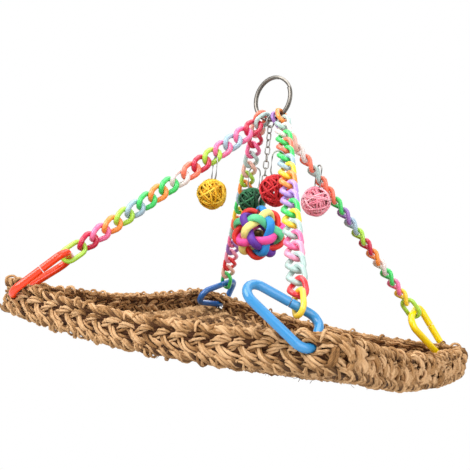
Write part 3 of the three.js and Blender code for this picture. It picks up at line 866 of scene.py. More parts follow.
@dataclass
class Dressing:
    """What the pieces share: the solids' finish slots, the node trees and the finishes."""

    slots: dict[str, str]
    cords: CordTree = field(default_factory=CordTree)
    links: LinkTree = field(default_factory=LinkTree)
    fibres: FibreTree = field(default_factory=FibreTree)
    plastic: Finish = field(default_factory=MouldedPlastic("link_plastic").make)
    clear: Finish = field(default_factory=MouldedPlastic("clear_link_plastic", 0.15).make)
    bright: Finish = field(default_factory=SteelWire("bright_ring_steel", "827d76", 0.16).make)
    wire: Finish = field(default_factory=SteelWire("drawn_wire", "a3a19c", 0.24).make)
    straw: Finish = field(default_factory=Fibre("straw_seagrass", "482608", "a87a48", "d8ae80").make)
    brown: Finish = field(default_factory=Fibre("brown_seagrass", "3a200a", "946b40", "cfa576").make)
    paths: list[Thing] = field(default_factory=list)
    bow_steps: int = 9

    def link_path(self, half: float, side: float, twist: float) -> Thing:
        """Centre line of a link, taken away by tidy().

        Args:
            half: half the length of the centre line.
            side: half its width.
            twist: turn of each end in degrees.

        Returns:
            An object of edges.
        """
        line = Strands()
        line.add(stadium(half, side, twist, self.bow_steps), True)
        self.paths.append(line.object(f"link_path_{len(self.paths)}"))
        return self.paths[-1]

    def set_links(
        self, row: Thing, path: Thing, wire: float, sides: int, finish: Finish, clear: Finish
    ) -> None:
        """Sets a link on every point of a row.

        Args:
            row: the points with their turns, which becomes the links.
            path: the link's centre line.
            wire: its wire in millimetres.
            sides: faces round the wire.
            finish: the material.
            clear: the material of clear links.
        """
        values = {"Link Path": path, "Wire Diameter": wire * MM, "Wire Sides": sides}
        self.links.apply(row, values | {"Finish": finish, "Clear Finish": clear})

    def settle(self, piece: Thing, body: str, node: str, stands_for: bool = True) -> None:
        """Makes a piece ride on a body and, where it stands for a solid, hides that solid.

        Args:
            piece: the piece.
            body: the body's name.
            node: the solid's name.
            stands_for: True if the piece takes the solid's place.
        """
        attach(piece, body)
        if stands_for:
            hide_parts(node)
        LOG.info("%s rides on %s: %d faces", piece.name, body, len(piece.data.polygons))

    def tidy(self) -> None:
        """Takes the links' centre lines away."""
        for path in self.paths:
            bpy.data.objects.remove(path)
        self.paths.clear()


@dataclass
class SplitRing:
    """Two turns of flat spring wire, hung upright."""

    outer: float = 43.0
    radial: float = 3.0
    axial: float = 1.4
    gap: float = 0.5
    bevel: float = 0.35
    plan_angle: float = -10.0
    split_angle: float = 52.0
    opening: float = 38.0
    split_end: float = 6.0
    steps: int = 170

    def __post_init__(self) -> None:
        """Works out the ring's circle."""
        self.radius = (self.outer - self.radial) / 2
        self.along = plan_direction(self.plan_angle)
        self.axis = self.along.cross(UP)
        self.centre = Vector((0, 0, self.radial / 2 - self.radius))
        self.wire_reach = math.hypot(self.radial, 2 * self.axial + self.gap) / 2

    def point(self, degrees: float) -> Vector:
        """Point on the ring's circle, counted from its plan direction upwards."""
        return self.centre + turned(self.along, self.axis, degrees) * self.radius

    def build(self, dressing: Dressing) -> None:
        """Winds the wire.

        Args:
            dressing: shared trees and finishes.
        """
        half = self.opening / 2
        turns = np.linspace(half + self.split_end, 720 - half - self.split_end, self.steps)
        shifts = (self.axial + self.gap) / 2 * np.clip((turns - 360) / half, -1.0, 1.0)
        path = [self.point(self.split_angle + t) + self.axis * s for t, s in zip(turns, shifts)]
        wide, high, cut = self.radial / 2, self.axial / 2, self.bevel
        right = np.array([(wide - cut, -high), (wide, cut - high), (wide, high - cut), (wide - cut, high)])
        section = np.concatenate([right, -right])
        ring = sweep("split_ring", np.array(path), section, self.axis, False, dressing.bright)
        dressing.settle(ring, "ring", "hanging_ring")


@dataclass(frozen=True)
class Bar:
    """Straight bar of a clip: its ends, run and outward direction."""

    start: np.ndarray
    end: np.ndarray
    run: np.ndarray
    out: np.ndarray

    def at(self, share: float) -> np.ndarray:
        """Point at a share of the bar's length."""
        return self.start + (self.end - self.start) * share


@dataclass(frozen=True)
class Hold:
    """How a clip hangs: its corner on the rope, the way from there to the hook, and the hook's drop."""

    seat: np.ndarray
    along: np.ndarray
    length: float
    drop: float


@dataclass
class ClipShape:
    """Outline of a snap clip: a rounded triangle of round bar with a slit."""

    bar: float = 6.6
    length: float = 63.0
    wide_end: float = 40.0
    corner: float = 9.4
    skew: float = 4.0
    lean: float = 0.25
    slit: float = 0.9
    slit_place: float = 0.42
    slit_edge: float = 0.5
    side_hook: float = 0.2
    corner_steps: int = 14
    sides: int = 18

    def __post_init__(self) -> None:
        """Works out the three corners and the bars between them."""
        reach = self.length - self.bar - 2 * self.corner
        rise = self.wide_end - self.bar - 2 * self.corner
        self.corners = {
            "A": np.array([0.0, 0.0]),
            "B": np.array([reach - self.skew, (1 - self.lean) * rise]),
            "C": np.array([reach, -self.lean * rise]),
        }
        self.bars = [self._bar(*ends) for ends in ("BA", "AC", "CB")]

    def _bar(self, first: str, second: str) -> Bar:
        """Works out the bar between two corners.

        Args:
            first: name of the corner at its start.
            second: name of the corner at its end.

        Returns:
            The bar.
        """
        start, end = self.corners[first], self.corners[second]
        run = unit(end - start)
        out = np.array([run[1], -run[0]])
        return Bar(start + out * self.corner, end + out * self.corner, run, out)

    def outline(self) -> np.ndarray:
        """Points along the bar from one side of the slit round to the other.

        Returns:
            The points, one row each.
        """
        first = self.bars[0]
        opening, edge = first.at(self.slit_place), first.run * self.slit_edge
        points = [opening, opening + edge]
        for i, name in enumerate("ACB"):
            begin, end = (math.atan2(b.out[1], b.out[0]) for b in (self.bars[i], self.bars[(i + 1) % 3]))
            angles = begin + (end - begin) % math.tau * np.arange(self.corner_steps + 1) / self.corner_steps
            spokes = np.stack([np.cos(angles), np.sin(angles)], axis=1)
            points += list(self.corners[name] + spokes * self.corner)
        far = opening - first.run * self.slit
        return np.array(points + [far - edge, far])

    def holding(self, sideways: bool, drop: float) -> Hold:
        """How the clip hangs.

        Args:
            sideways: True if it is hooked by a long bar, False if by the short one.
            drop: distance of the hook's wire from the bar's centre line.

        Returns:
            The hold.
        """
        seat, bar, place = ("C", self.bars[0], self.side_hook) if sideways else ("A", self.bars[2], 0.5)
        reach = bar.at(place) - self.corners[seat]
        size = float(np.linalg.norm(reach))
        lean = abs(float(reach @ bar.run)) / size
        return Hold(self.corners[seat], reach / size, size, drop / math.sqrt(1 - lean * lean))


@dataclass(frozen=True)
class WireLoop:
    """Bent wire loop that hangs a ball."""

    wire: float = 1.1
    seen_wire: float = 1.4
    length: float = 24.0
    width: float = 12.0
    steps: int = 12
    sides: int = 10

    @property
    def half(self) -> float:
        """Half the length of the centre line."""
        return (self.length - self.wire) / 2

    def build(self, owner: str, centre: Vector, across: Vector, dressing: Dressing) -> None:
        """Bends the loop.

        Args:
            owner: start of the names of the loop and of the ball that it hangs.
            centre: middle of the loop.
            across: direction of its width.
            dressing: shared trees and finishes.
        """
        frame = np.array([UP, across, UP.cross(across)])
        path = stadium(self.half, (self.width - self.wire) / 2, 0, self.steps)
        strands = Strands()
        strands.add(path @ frame + np.array(centre), True, 0.5)
        values = Cord(self.seen_wire, self.sides).values(dressing.wire)
        loop = dressing.cords.apply(strands.object(f"{owner}_wire_loop"), values)
        dressing.settle(loop, f"{owner}_ball", f"{owner}_ball_loop")


@dataclass(frozen=True)
class RattanBall:
    """Ball of thin rattan wound every way."""

    diameter: float = 28.7
    strand: float = 2.5
    cord: Cord = Cord(2.05, 6, lobe_depth=0.05, lobes=3.0, lay=20.0)
    count: int = 42
    outer_count: int = 18
    outer_reach: Pair = (0.92, 1.0)
    inner_reach: Pair = (0.5, 0.84)
    most_offset: float = 0.35
    steps: int = 30
    waves: int = 3
    wave: float = 0.025
    wave_sink: float = 0.012
    latest_start: float = 6.0
    girth: Pair = (0.75, 1.1)
    start_way: Triple = (0.3, 0.5, 0.81)

    def wind(self, top: Vector, outward: Vector, seed: int) -> Strands:
        """Winds the ball.

        Args:
            top: place of the strand that the loop holds.
            outward: plan direction of that strand.
            seed: seed of the winding.

        Returns:
            The strands.
        """
        chance = np.random.default_rng(seed)
        strands = Strands()
        radius = (self.diameter - self.strand) / 2
        for i in range(self.count):
            axis = chance.normal(size=3)
            reach, offset = radius, 0.0
            if i == 0:
                axis = np.array(outward.cross(UP))
            else:
                reach *= chance.uniform(*(self.outer_reach if i < self.outer_count else self.inner_reach))
                offset = reach * chance.uniform(-self.most_offset, self.most_offset)
            axis = unit(axis)
            first = unit(np.cross(axis, self.start_way))
            angle = even_angles(self.steps) * self.waves + chance.uniform(0, self.latest_start)
            ring = math.sqrt(reach**2 - offset**2) * (1 + self.wave * np.sin(angle) - self.wave_sink)
            middle = axis * offset + np.array(top - UP * radius)
            path = round_path(middle, first, np.cross(axis, first), ring, self.steps)
            strands.add(path, True, chance.uniform(0, 1), chance.uniform(*self.girth))
        return strands


@dataclass
class Leg:
    """One of the four chains with its clip and its rattan ball."""

    name: str
    side: tuple[int, int]
    place: int
    facing: float
    clip_color: str
    ball_colors: tuple[str, str, str]
    colors: str
    sideways: bool = False
    flip: int = 1
    hand: int = -1
    seen_wire: float = 4.6
    ball_seed: int = 31
    link_length: float = 19.8
    link_width: float = 15.3
    wire: float = 3.9
    wire_sides: int = 12
    twist: float = 45.0
    end_length: float = 24.6
    pieces: int = 5
    bite: float = 0.5
    spacing: float = 6.8
    ring_play: float = 0.8
    clearance: float = 0.3
    loop: WireLoop = WireLoop()
    loop_play: float = 1.05
    ball_link: int = 5
    ball: RattanBall = RattanBall()

    def __post_init__(self) -> None:
        """Works out the links' centre lines and which links are one solid."""
        self.links = [LinkColor[word.upper()] for word in self.colors.split()]
        self.count = len(self.links)
        self.half = (self.link_length - self.wire) / 2
        self.end_half = (self.end_length - self.wire) / 2
        self.across_half = (self.link_width - self.wire) / 2
        self.groups, following = [[0]], 1
        for i in range(self.pieces):
            size = (self.count - 1 - following) // (self.pieces - i)
            self.groups.append(list(range(following, following + size)))
            following += size
        self.groups.append([self.count - 1])

    def lay_out(self, ring: SplitRing, shape: ClipShape, foot_along: float, rim_half: float) -> None:
        """Works out the chain's route from the ring to the rim rope.

        Args:
            ring: the split ring.
            shape: the clip's outline.
            foot_along: where the clip sits along the mat's side.
            rim_half: half the rim rope's square.
        """
        self.shape = shape
        degrees = -90 + math.degrees(self.place * self.spacing / ring.radius)
        self.start = ring.point(degrees)
        wire = turned(ring.along, ring.axis, degrees + 90)
        self.centres = [self.half - ring.wire_reach - self.wire / 2 - self.ring_play]
        for group in self.groups[1:]:
            for k, link in enumerate(group):
                step = self.wire - self.bite if k else self.wire + self.clearance
                last = self.end_half if link == self.count - 1 else self.half
                self.centres.append(self.centres[-1] + self.half + last - step)
        self.hold = shape.holding(self.sideways, shape.bar / 2 + self.wire / 2 + self.clearance)
        length = self.centres[-1] + self.end_half - self.hold.drop + self.hold.length
        x, y = self.side[0] * foot_along, self.side[1] * rim_half
        fall = math.sqrt(length**2 - (x - self.start.x) ** 2 - (y - self.start.y) ** 2)
        self.foot = Vector((x, y, self.start.z - fall))
        self.down = (self.foot - self.start).normalized()
        across = self.down.cross(wire).normalized()
        self.normal = square_to(plan_direction(self.facing - 90), self.down)
        last = angle_between(across, self.normal, self.down)
        extra = spare_turn(last - 90) / (self.count - 1)
        middle = [90 + self.hand * self.twist + extra * i for i in range(1, self.count - 1)]
        self.acrosses = [turned(across, self.down, turn) for turn in (0.0, *middle, last)]

    def clip_path(self) -> np.ndarray:
        """Centre line of the clip's bar.

        Returns:
            The points, one row each.
        """
        up = -self.down
        sideways = self.normal.cross(up) * self.flip
        along, path = self.hold.along, []
        for away in self.shape.outline() - self.hold.seat:
            cross = float(away[0] * along[1] - away[1] * along[0])
            path.append(self.foot + up * float(away @ along) - sideways * cross)
        return np.array(path)

    def build(self, dressing: Dressing) -> None:
        """Makes the chain's links, the clip and the ball.

        Args:
            dressing: shared trees and finishes.
        """
        self._build_links(dressing)
        section = round_section(self.shape.bar, self.shape.sides)
        name = f"{self.name}_snap_clip"
        clip = sweep(name, self.clip_path(), section, self.normal, False, dressing.plastic)
        keep(clip, "tint", "FLOAT_COLOR", [linear(self.clip_color)] * len(clip.data.vertices))
        dressing.settle(clip, f"{self.name}_clip", f"{self.name}_clip")
        self._build_ball(dressing)

    def _build_links(self, dressing: Dressing) -> None:
        """Sets the links of each solid of the chain on their places.

        Args:
            dressing: shared trees and finishes.
        """
        curb = dressing.link_path(self.half, self.across_half, self.hand * self.twist)
        plain = dressing.link_path(self.half, self.across_half, 0)
        ending = dressing.link_path(self.end_half, self.across_half, 0)
        kinds = [("top_link", plain, self.wire)]
        kinds += [(f"links_{i + 1}", curb, self.seen_wire) for i in range(self.pieces)]
        kinds.append(("end_link", ending, self.wire + self.clearance))
        for (label, path, wire), group in zip(kinds, self.groups):
            row = show(f"{self.name}_{label}", [self.start + self.down * self.centres[i] for i in group])
            keep(row, "turn", "QUATERNION", [link_turn(self.down, self.acrosses[i]) for i in group])
            colors = [self.links[i].value for i in group]
            keep(row, "tint", "FLOAT_COLOR", [linear(code) for code, _ in colors])
            keep(row, "clear", "FLOAT", [clear for _, clear in colors])
            dressing.set_links(row, path, wire, self.wire_sides, dressing.plastic, dressing.clear)
            dressing.settle(row, "hammock", f"{self.name}_chain_{label}")

    def _build_ball(self, dressing: Dressing) -> None:
        """Winds the rattan ball and hangs it by its wire loop.

        Args:
            dressing: shared trees and finishes.
        """
        outward = Vector((self.down.x, self.down.y, 0)).normalized()
        loop_across = outward.cross(UP)
        across = self.acrosses[self.ball_link]
        lower = across if across.z < 0 else -across
        grip = self.start + self.down * self.centres[self.ball_link] + lower * self.across_half
        slant = self.across_half * math.radians(self.hand * self.twist) / self.half
        wire = (self.down + self.down.cross(lower) * slant).normalized()
        onward, sideways, fall = wire.dot(outward), wire.dot(loop_across), wire.z
        widest = math.sqrt(1 - sideways**2)
        rise = self.wire / 2 * widest / onward + self.loop_play + self.loop.wire / 2
        shift = self.wire / 2 * sideways * fall / (onward * widest)
        centre = grip + UP * (rise - self.loop.half) + loop_across * shift
        self.loop.build(self.name, centre, loop_across, dressing)
        top = centre + UP * (self.loop.wire / 2 + self.clearance + self.ball.strand / 2 - self.loop.half)
        strands = self.ball.wind(top, outward, self.ball_seed)
        dye = Fibre(f"{self.name}_dyed_rattan", *self.ball_colors, streak=0.5, roughness=(0.4, 0.22))
        values = self.ball.cord.values(dye.make())
        ball = dressing.cords.apply(strands.object(f"{self.name}_wound_ball"), values)
        dressing.settle(ball, f"{self.name}_ball", f"{self.name}_rattan_ball")


@dataclass(frozen=True)
class Wraps:
    """Short cord ends that wrap round part of the border, in millimetres and degrees."""

    drop: float
    radius: float
    start: float
    end: float
    count: int
    seed: int
    scatter: float = 1.0
    lean: float = 4.0
    flat: float = 1.0
    spin: float = 0.0
    only_side: Optional[float] = None
    twin: float = 0.0
    girth: float = 1.0
    darkest: float = 0.25
    points: int = 9
    reach: float = 2.0
    slide: float = 3.0
    swing: float = 20.0
    radii: Pair = (0.8, 1.12)
    girths: Pair = (0.75, 1.2)
    end_girth: float = 0.5
    side_share: float = 0.6


@dataclass(frozen=True)
class Plait:
    """Plait of three strands round the border, each laid up from thin cords, in millimetres."""

    name: str
    node: str
    drop: float
    period: float
    wide: float
    deep: float
    seed: int
    cord: float
    ply_radius: float
    plies: int
    core: tuple[float, ...]
    wraps: tuple[Wraps, ...]
    upright: bool = False
    lay: float = 38.0
    take_up: float = 1.15
    core_cord: float = 3.4
    # Painted shade: the core cords take this dark tone so that the pits between the strands look shaded.
    core_painted_shade: float = -0.4
    jitter: float = 0.35
    sway: float = 0.8
    heave: float = 0.7
    ply_jitter: float = 0.5
    ply_swell: float = 0.25
    ply_tone: float = 0.4
    tone_sway: float = 0.25
    # Painted shade: share by which a cord's tone drops where it lies deep in the plait.
    painted_depth_shade: float = 0.3
    girth_sway: float = 0.16
    steps: int = 16


class Rough:
    """Smooth random values round a closed strand."""

    POINTS_PER_VALUE = 6

    def __init__(self, chance: np.random.Generator, steps: int) -> None:
        """Keeps the generator and the number of points."""
        self.chance = chance
        self.steps = steps

    def __call__(self, size: float) -> np.ndarray:
        """Draws values, the last of which leads to the first.

        Args:
            size: the largest value either way.

        Returns:
            One value for each point.
        """
        count = self.steps // self.POINTS_PER_VALUE
        values = self.chance.uniform(-1, 1, count)
        place = np.arange(self.steps) * count / self.steps
        return size * np.interp(place, np.arange(count + 1), np.append(values, values[0]))


@dataclass
class SeagrassMat:
    """Woven square with a plaited border."""

    side: float = 316.0
    rim: float = 8.0
    band_thickness: float = 8.6
    band_height: float = 11.5
    base: float = 7.0
    corner: float = 22.0
    side_steps: int = 60
    corner_steps: int = 14
    panel_thickness: float = 6.5
    panel_drop: float = 13.4
    inset: float = 31.0
    sag: float = 12.0
    clearance: float = 0.3
    cord_pitch: float = 7.2
    panel_cord: float = 7.3
    panel_seed: int = 11
    weave_height: float = 1.9
    weave_edge: float = 1.0
    wander: tuple[float, int] = (0.9, 24)
    bumps: tuple[float, int] = (0.5, 40)
    swells: tuple[float, int] = (0.16, 60)
    plait_length: float = 48.0
    rim_share: float = 0.8
    base_share: float = 0.7
    plait_sides: int = 9
    panel_sides: int = 7
    clip_room: float = 0.4
    clip_turn: float = 8.0
    clip_zone: float = 70.0
    fibre_length: float = 6.0
    fibre: float = 0.45
    fibre_seed: int = 5
    border_density: float = 900.0
    panel_density: float = 700.0

    def __post_init__(self) -> None:
        """Works out the border's levels."""
        self.rim_half = (self.side - max(self.rim, self.band_thickness)) / 2
        self.foot_along = self.side / 2 - self.inset
        self.band_drop = self.rim / 2 + self.clearance + self.band_height / 2
        self.base_drop = self.band_drop + self.band_height / 2 + self.clearance + self.base / 2

    def hang(self, legs: Sequence[Leg]) -> None:
        """Takes the height of each corner and the place of each clip from the legs.

        Args:
            legs: left, near, right and back leg.
        """
        self.heights = [leg.foot.z for leg in legs]
        self.clips = [(leg.clip_path(), np.array(leg.foot), np.array(leg.down)) for leg in legs]
        self.clip_reach = legs[0].shape.bar / 2 + self.clip_room

    def level(self, x: np.ndarray, y: np.ndarray) -> np.ndarray:
        """Height of the rim rope's level.

        Args:
            x: places along the first axis.
            y: places along the second axis.

        Returns:
            The heights.
        """
        left, near, right, back = self.heights
        u, v = x / self.foot_along, y / self.rim_half
        even = (left + near + right + back) / 4
        tilt = u * (near + right - left - back) / 4 + v * (right + back - left - near) / 4
        saddle = u * v * (left + right - near - back) / 4
        hang = self.sag * (2 - (x / self.rim_half) ** 2 - (y / self.rim_half) ** 2)
        return even + tilt + saddle - hang + self.sag * (1 - (self.foot_along / self.rim_half) ** 2)

    def border(self, steps: int) -> tuple[np.ndarray, np.ndarray, float]:
        """Even points round the border.

        Args:
            steps: number of points.

        Returns:
            The points, their outward directions and the border's length.
        """
        straight = self.rim_half - self.corner
        points, outs = [], []
        for side in range(4):
            along, out = np.array(plan_direction(90 * side)), np.array(plan_direction(90 * side - 90))
            for t in np.linspace(-straight, straight, self.side_steps, endpoint=False):
                points.append(out * self.rim_half + along * t)
                outs.append(out)
            for angle in np.linspace(0, math.pi / 2, self.corner_steps, endpoint=False):
                spoke = out * math.cos(angle) + along * math.sin(angle)
                points.append((out + along) * straight + spoke * self.corner)
                outs.append(spoke)
        rows = np.concatenate([points + points[:1], outs + outs[:1]], axis=1)
        run = np.append(0.0, np.cumsum(np.linalg.norm(np.diff(rows[:, :3], axis=0), axis=1)))
        even = np.linspace(0, run[-1], steps, endpoint=False)
        rows = np.stack([np.interp(even, run, column) for column in rows.T], axis=1)
        return rows[:, :3], unit(rows[:, 3:]), float(run[-1])

    def part(self, path: np.ndarray, reach: float) -> np.ndarray:
        """Moves points of a strand out of the way of the clips' bars, also where a clip turns.

        Args:
            path: the strand's points.
            reach: distance to keep from the surface that a clip needs.

        Returns:
            The moved points.
        """
        moved = path.copy()
        swing = math.sin(math.radians(self.clip_turn))
        for bar, foot, axis in self.clips * 2:
            starts, runs = bar[:-1], np.diff(bar, axis=0)
            sweeps = np.cross(axis, starts - foot) * swing
            for i in np.where(np.linalg.norm(path - bar.mean(0), axis=1) < self.clip_zone)[0]:
                share = np.clip(((moved[i] - starts) * runs).sum(1) / (runs**2).sum(1), 0, 1)
                gaps = moved[i] - (starts + runs * share[:, None])
                sizes = np.linalg.norm(gaps, axis=1)
                units = gaps / np.maximum(sizes, TINY)[:, None]
                short = self.clip_reach + reach + np.abs((units * sweeps).sum(1)) - sizes
                worst = int(np.argmax(short))
                if short[worst] > 0:
                    moved[i] += units[worst] * short[worst]
        return moved

    def plait(self, plait: Plait) -> Strands:
        """Plaits the cords of one plait.

        Args:
            plait: its sizes.

        Returns:
            The cords.
        """
        chance = np.random.default_rng(plait.seed)
        strands = Strands()
        periods = round(self.border(1)[2] / plait.period)
        steps = periods * plait.steps
        route, outs, length = self.border(steps)
        levels = self.level(route[:, 0], route[:, 1]) - plait.drop
        turns = round(length * plait.take_up / plait.lay)
        rough = Rough(chance, steps)
        for k in range(3):
            phase = even_angles(steps) * periods + math.tau * k / 3 + rough(plait.jitter)
            across = plait.wide * np.sin(phase) + rough(plait.sway)
            through = plait.deep * np.sin(2 * phase) + rough(plait.heave)
            outward, upward = (through, across) if plait.upright else (across, through)
            path = route + outs * outward[:, None]
            path[:, 2] = levels + upward
            ahead = unit(np.roll(path, -1, 0) - np.roll(path, 1, 0))
            first = unit(np.cross(ahead, [0.0, 0.0, 1.0]))
            second = np.cross(ahead, first)
            for ply in range(plait.plies):
                angle = even_angles(steps) * turns + math.tau * ply / plait.plies + rough(plait.ply_jitter)
                spread = plait.ply_radius * (1 + rough(plait.ply_swell))
                aside = first * np.cos(angle)[:, None] + second * np.sin(angle)[:, None]
                cord = path + aside * spread[:, None]
                tone = 0.5 + chance.uniform(-plait.ply_tone, plait.ply_tone) + rough(plait.tone_sway)
                # Painted shade: the tone is darker where the cord lies deep in the plait and lighter where it
                # lies on top.
                tone += plait.painted_depth_shade * through / plait.deep
                strands.add(self.part(cord, plait.cord / 2), True, tone, 1 + rough(plait.girth_sway))
        # The core cords are dark: painted shade deep inside the plait.
        for rise in plait.core:
            path = route.copy()
            path[:, 2] = levels + rise
            path = self.part(path, plait.core_cord / 2)
            strands.add(path, True, plait.core_painted_shade, plait.core_cord / plait.cord)
        return strands

    def stitch(self, strands: Strands, wrap: Wraps) -> None:
        """Adds short cord ends that wrap round the border.

        Args:
            strands: the piece that takes them.
            wrap: their sizes and place.
        """
        chance = np.random.default_rng(wrap.seed)
        route, outs, _ = self.border(wrap.count)
        aheads = unit(np.roll(route, -1, 0) - route)
        along = np.linspace(-1, 1, wrap.points)
        ends = [0, 2, wrap.points - 3, wrap.points - 1]
        taper = np.interp(np.arange(wrap.points), ends, [wrap.end_girth, 1, 1, wrap.end_girth])
        kept = np.full(wrap.count, True)
        if wrap.only_side is not None:
            kept = outs @ np.array(plan_direction(wrap.only_side)) >= wrap.side_share
        for point, out, ahead in zip(route[kept], outs[kept], aheads[kept]):
            centre = point + ahead * chance.uniform(-wrap.slide, wrap.slide)
            centre[2] = self.level(centre[0], centre[1]) - wrap.drop + chance.uniform(-1, 1) * wrap.scatter
            radius = wrap.radius * chance.uniform(*wrap.radii)
            swing = chance.uniform(-wrap.swing, wrap.swing)
            angle = np.radians(np.linspace(wrap.start, wrap.end, wrap.points) + swing)
            lean = chance.uniform(-1, 1) * wrap.lean * along
            spin = math.radians(chance.uniform(-1, 1) * wrap.spin)
            rise = np.sin(angle) * radius
            path = centre + np.outer(np.cos(angle) * radius * wrap.flat, out)
            path += np.outer(lean * math.cos(spin) + rise * math.sin(spin), ahead)
            path[:, 2] += rise * math.cos(spin) - lean * math.sin(spin)
            girth = taper * chance.uniform(*wrap.girths) * wrap.girth
            tone = chance.uniform(wrap.darkest, 1)
            beside = ahead * math.cos(spin) - np.array(UP) * math.sin(spin)
            for shift in sorted({-wrap.twin, wrap.twin}):
                strands.add(self.part(path + beside * shift, wrap.reach), False, tone, girth)

    def weave(self) -> Strands:
        """Cords of the panel, over and under each other both ways.

        Returns:
            The cords.
        """
        chance = np.random.default_rng(self.panel_seed)
        strands = Strands()
        half = self.rim_half - self.band_thickness / 2 + self.weave_edge
        count = int(2 * half // self.cord_pitch)
        places = (np.arange(count) - (count - 1) / 2) * self.cord_pitch

        def vary(run: np.ndarray, size: float, knots: int) -> np.ndarray:
            """Smooth random values from -size to size along a cord."""
            return np.interp(run, np.linspace(-half, half, knots), chance.uniform(-size, size, knots))

        for direction in (0, 1):
            for j, place in enumerate(places):
                over = max(abs(place) - (half - self.corner), 0.0)
                reach = half - self.corner + math.sqrt(max(self.corner**2 - over**2, 0.0))
                run = np.arange(-reach, reach, self.cord_pitch / 3)
                beside = place + vary(run, *self.wander)
                x, y = (beside, run) if direction else (run, beside)
                wave = np.cos(math.pi * (run / self.cord_pitch + (count - 1) / 2 + j + direction))
                middle = self.level(x, y) - self.panel_drop - self.panel_thickness / 2
                path = np.stack([x, y, middle + self.weave_height * wave + vary(run, *self.bumps)], axis=1)
                girth = 1 + vary(run, *self.swells)
                strands.add(path, False, chance.uniform(0, 1), girth)
        return strands

    def plaits(self) -> list[Plait]:
        """The border's three plaits from the top down, with their cord ends.

        Returns:
            Rim, band and base.
        """
        fine = {"cord": 2.35, "ply_radius": 1.5, "plies": 4}
        thick = {"cord": 2.6, "ply_radius": 2.05, "plies": 5}
        over = Wraps(0.0, radius=5.0, start=-10, end=190, count=74, seed=21)
        under = Wraps(self.base_drop, radius=4.5, start=-190, end=20, count=130, seed=22)
        loose = Wraps(self.base_drop, radius=4.2, start=-200, end=10, count=90, seed=23, lean=7.0)
        knots = {"scatter": 6.0, "lean": 3.0, "flat": 0.75, "spin": 70.0, "twin": 1.3, "girth": 1.25}
        knots |= {"radius": 7.0, "start": -80, "end": 80, "count": 200, "seed": 24, "only_side": 0.0}
        rim = {"wide": 2.6, "deep": 1.5, "seed": 1, "core": (0.0, -4.0), "wraps": (over,), **fine}
        band = {"wide": 6.0, "deep": 2.1, "seed": 2, "core": (-4.5, -1.5, 1.5, 4.5), **thick}
        band |= {"upright": True, "wraps": (Wraps(self.band_drop, **knots),)}
        base = {"wide": 2.6, "deep": 1.4, "seed": 3, "core": (0.0, 3.4), "wraps": (under, loose), **fine}
        return [
            Plait("rim_plait", "rim_rope", 0.0, self.plait_length * self.rim_share, **rim),
            Plait("band_plait", "border_band", self.band_drop, self.plait_length, **band),
            Plait("base_plait", "base_rope", self.base_drop, self.plait_length * self.base_share, **base),
        ]

    def build(self, dressing: Dressing) -> None:
        """Plaits the border, weaves the panel and scatters stray fibres.

        Args:
            dressing: shared trees and finishes.
        """
        made = {}
        for plait in self.plaits():
            strands = self.plait(plait)
            for wrap in plait.wraps:
                self.stitch(strands, wrap)
            finish = dressing.brown if plait.node == "base_rope" else dressing.straw
            made[plait.node] = self._lay(strands, plait.name, plait.cord, self.plait_sides, finish, dressing)
            dressing.settle(made[plait.node], "hammock", plait.node)
        weave, finish = self.weave(), dressing.brown
        panel = self._lay(weave, "woven_panel", self.panel_cord, self.panel_sides, finish, dressing)
        dressing.settle(panel, "hammock", "mat_panel")
        for name, source, finish, density in (
            ("border_fibres", made["border_band"], dressing.straw, self.border_density),
            ("panel_fibres", panel, dressing.brown, self.panel_density),
        ):
            stray = place_mesh(source.data.copy(), name)
            values = {"Density": density, "Seed": self.fibre_seed, "Finish": finish}
            values |= {"Fibre Length": self.fibre_length * MM, "Fibre Diameter": self.fibre * MM}
            dressing.fibres.apply(stray, values)
            dressing.settle(stray, "hammock", "rim_rope", stands_for=False)

    @staticmethod
    def _lay(
        strands: Strands, name: str, width: float, sides: int, finish: Finish, dressing: Dressing
    ) -> Thing:
        """Makes a piece of twisted grass cord.

        Args:
            strands: the centre lines.
            name: the piece's name.
            width: the cord's width.
            sides: faces round the cord.
            finish: the material.
            dressing: shared trees and finishes.

        Returns:
            The piece.
        """
        cord = Cord(width, sides, flatness=0.9, lobe_depth=0.16, lobes=3.0, lay=26.0)
        return dressing.cords.apply(strands.object(name), cord.values(finish))


@dataclass
class ToyChain:
    """Small steel chain that carries the rainbow ball."""

    jump: float = 11.5
    jump_wire: float = 1.4
    jump_steps: int = 40
    jump_sides: int = 10
    length: float = 8.6
    width: float = 5.6
    wire: float = 1.2
    wire_sides: int = 8
    count: int = 10
    bite: float = 0.35
    clearance: float = 0.3

    def build(self, ring: SplitRing, end_across: Vector, dressing: Dressing) -> float:
        """Makes the jump ring and the links.

        Args:
            ring: the split ring that it hangs on.
            end_across: direction of the last link's width.
            dressing: shared trees and finishes.

        Returns:
            Height of the last link's lowest wire.
        """
        radius = (self.jump - self.jump_wire) / 2
        top = ring.point(-90).z + ring.wire_reach + self.clearance + self.jump_wire / 2
        circle = round_path((0, 0, top - radius), ring.axis, UP, radius, self.jump_steps)
        section = round_section(self.jump_wire, self.jump_sides)
        jump = sweep("jump_ring", circle, section, ring.along, True, dressing.wire)
        dressing.settle(jump, "toy_chain", "chain_jump_ring")
        half, side = (self.length - self.wire) / 2, (self.width - self.wire) / 2
        pitch = 2 * half - self.wire + self.bite
        first = top - 2 * radius + self.jump_wire / 2 + self.wire / 2 + self.clearance
        over = angle_between(ring.along, end_across, UP) - 90 * (self.count - 1)
        turn = 90 + spare_turn(over) / (self.count - 1)
        chain = show("cable_chain", [(0, 0, first - half - i * pitch) for i in range(self.count)])
        turns = [link_turn(UP, turned(ring.along, UP, turn * i)) for i in range(self.count)]
        keep(chain, "turn", "QUATERNION", turns)
        keep(chain, "clear", "FLOAT", np.zeros(self.count))
        link = dressing.link_path(half, side, 0)
        dressing.set_links(chain, link, self.wire, self.wire_sides, dressing.wire, dressing.wire)
        dressing.settle(chain, "toy_chain", "steel_chain")
        return first - 2 * half - (self.count - 1) * pitch


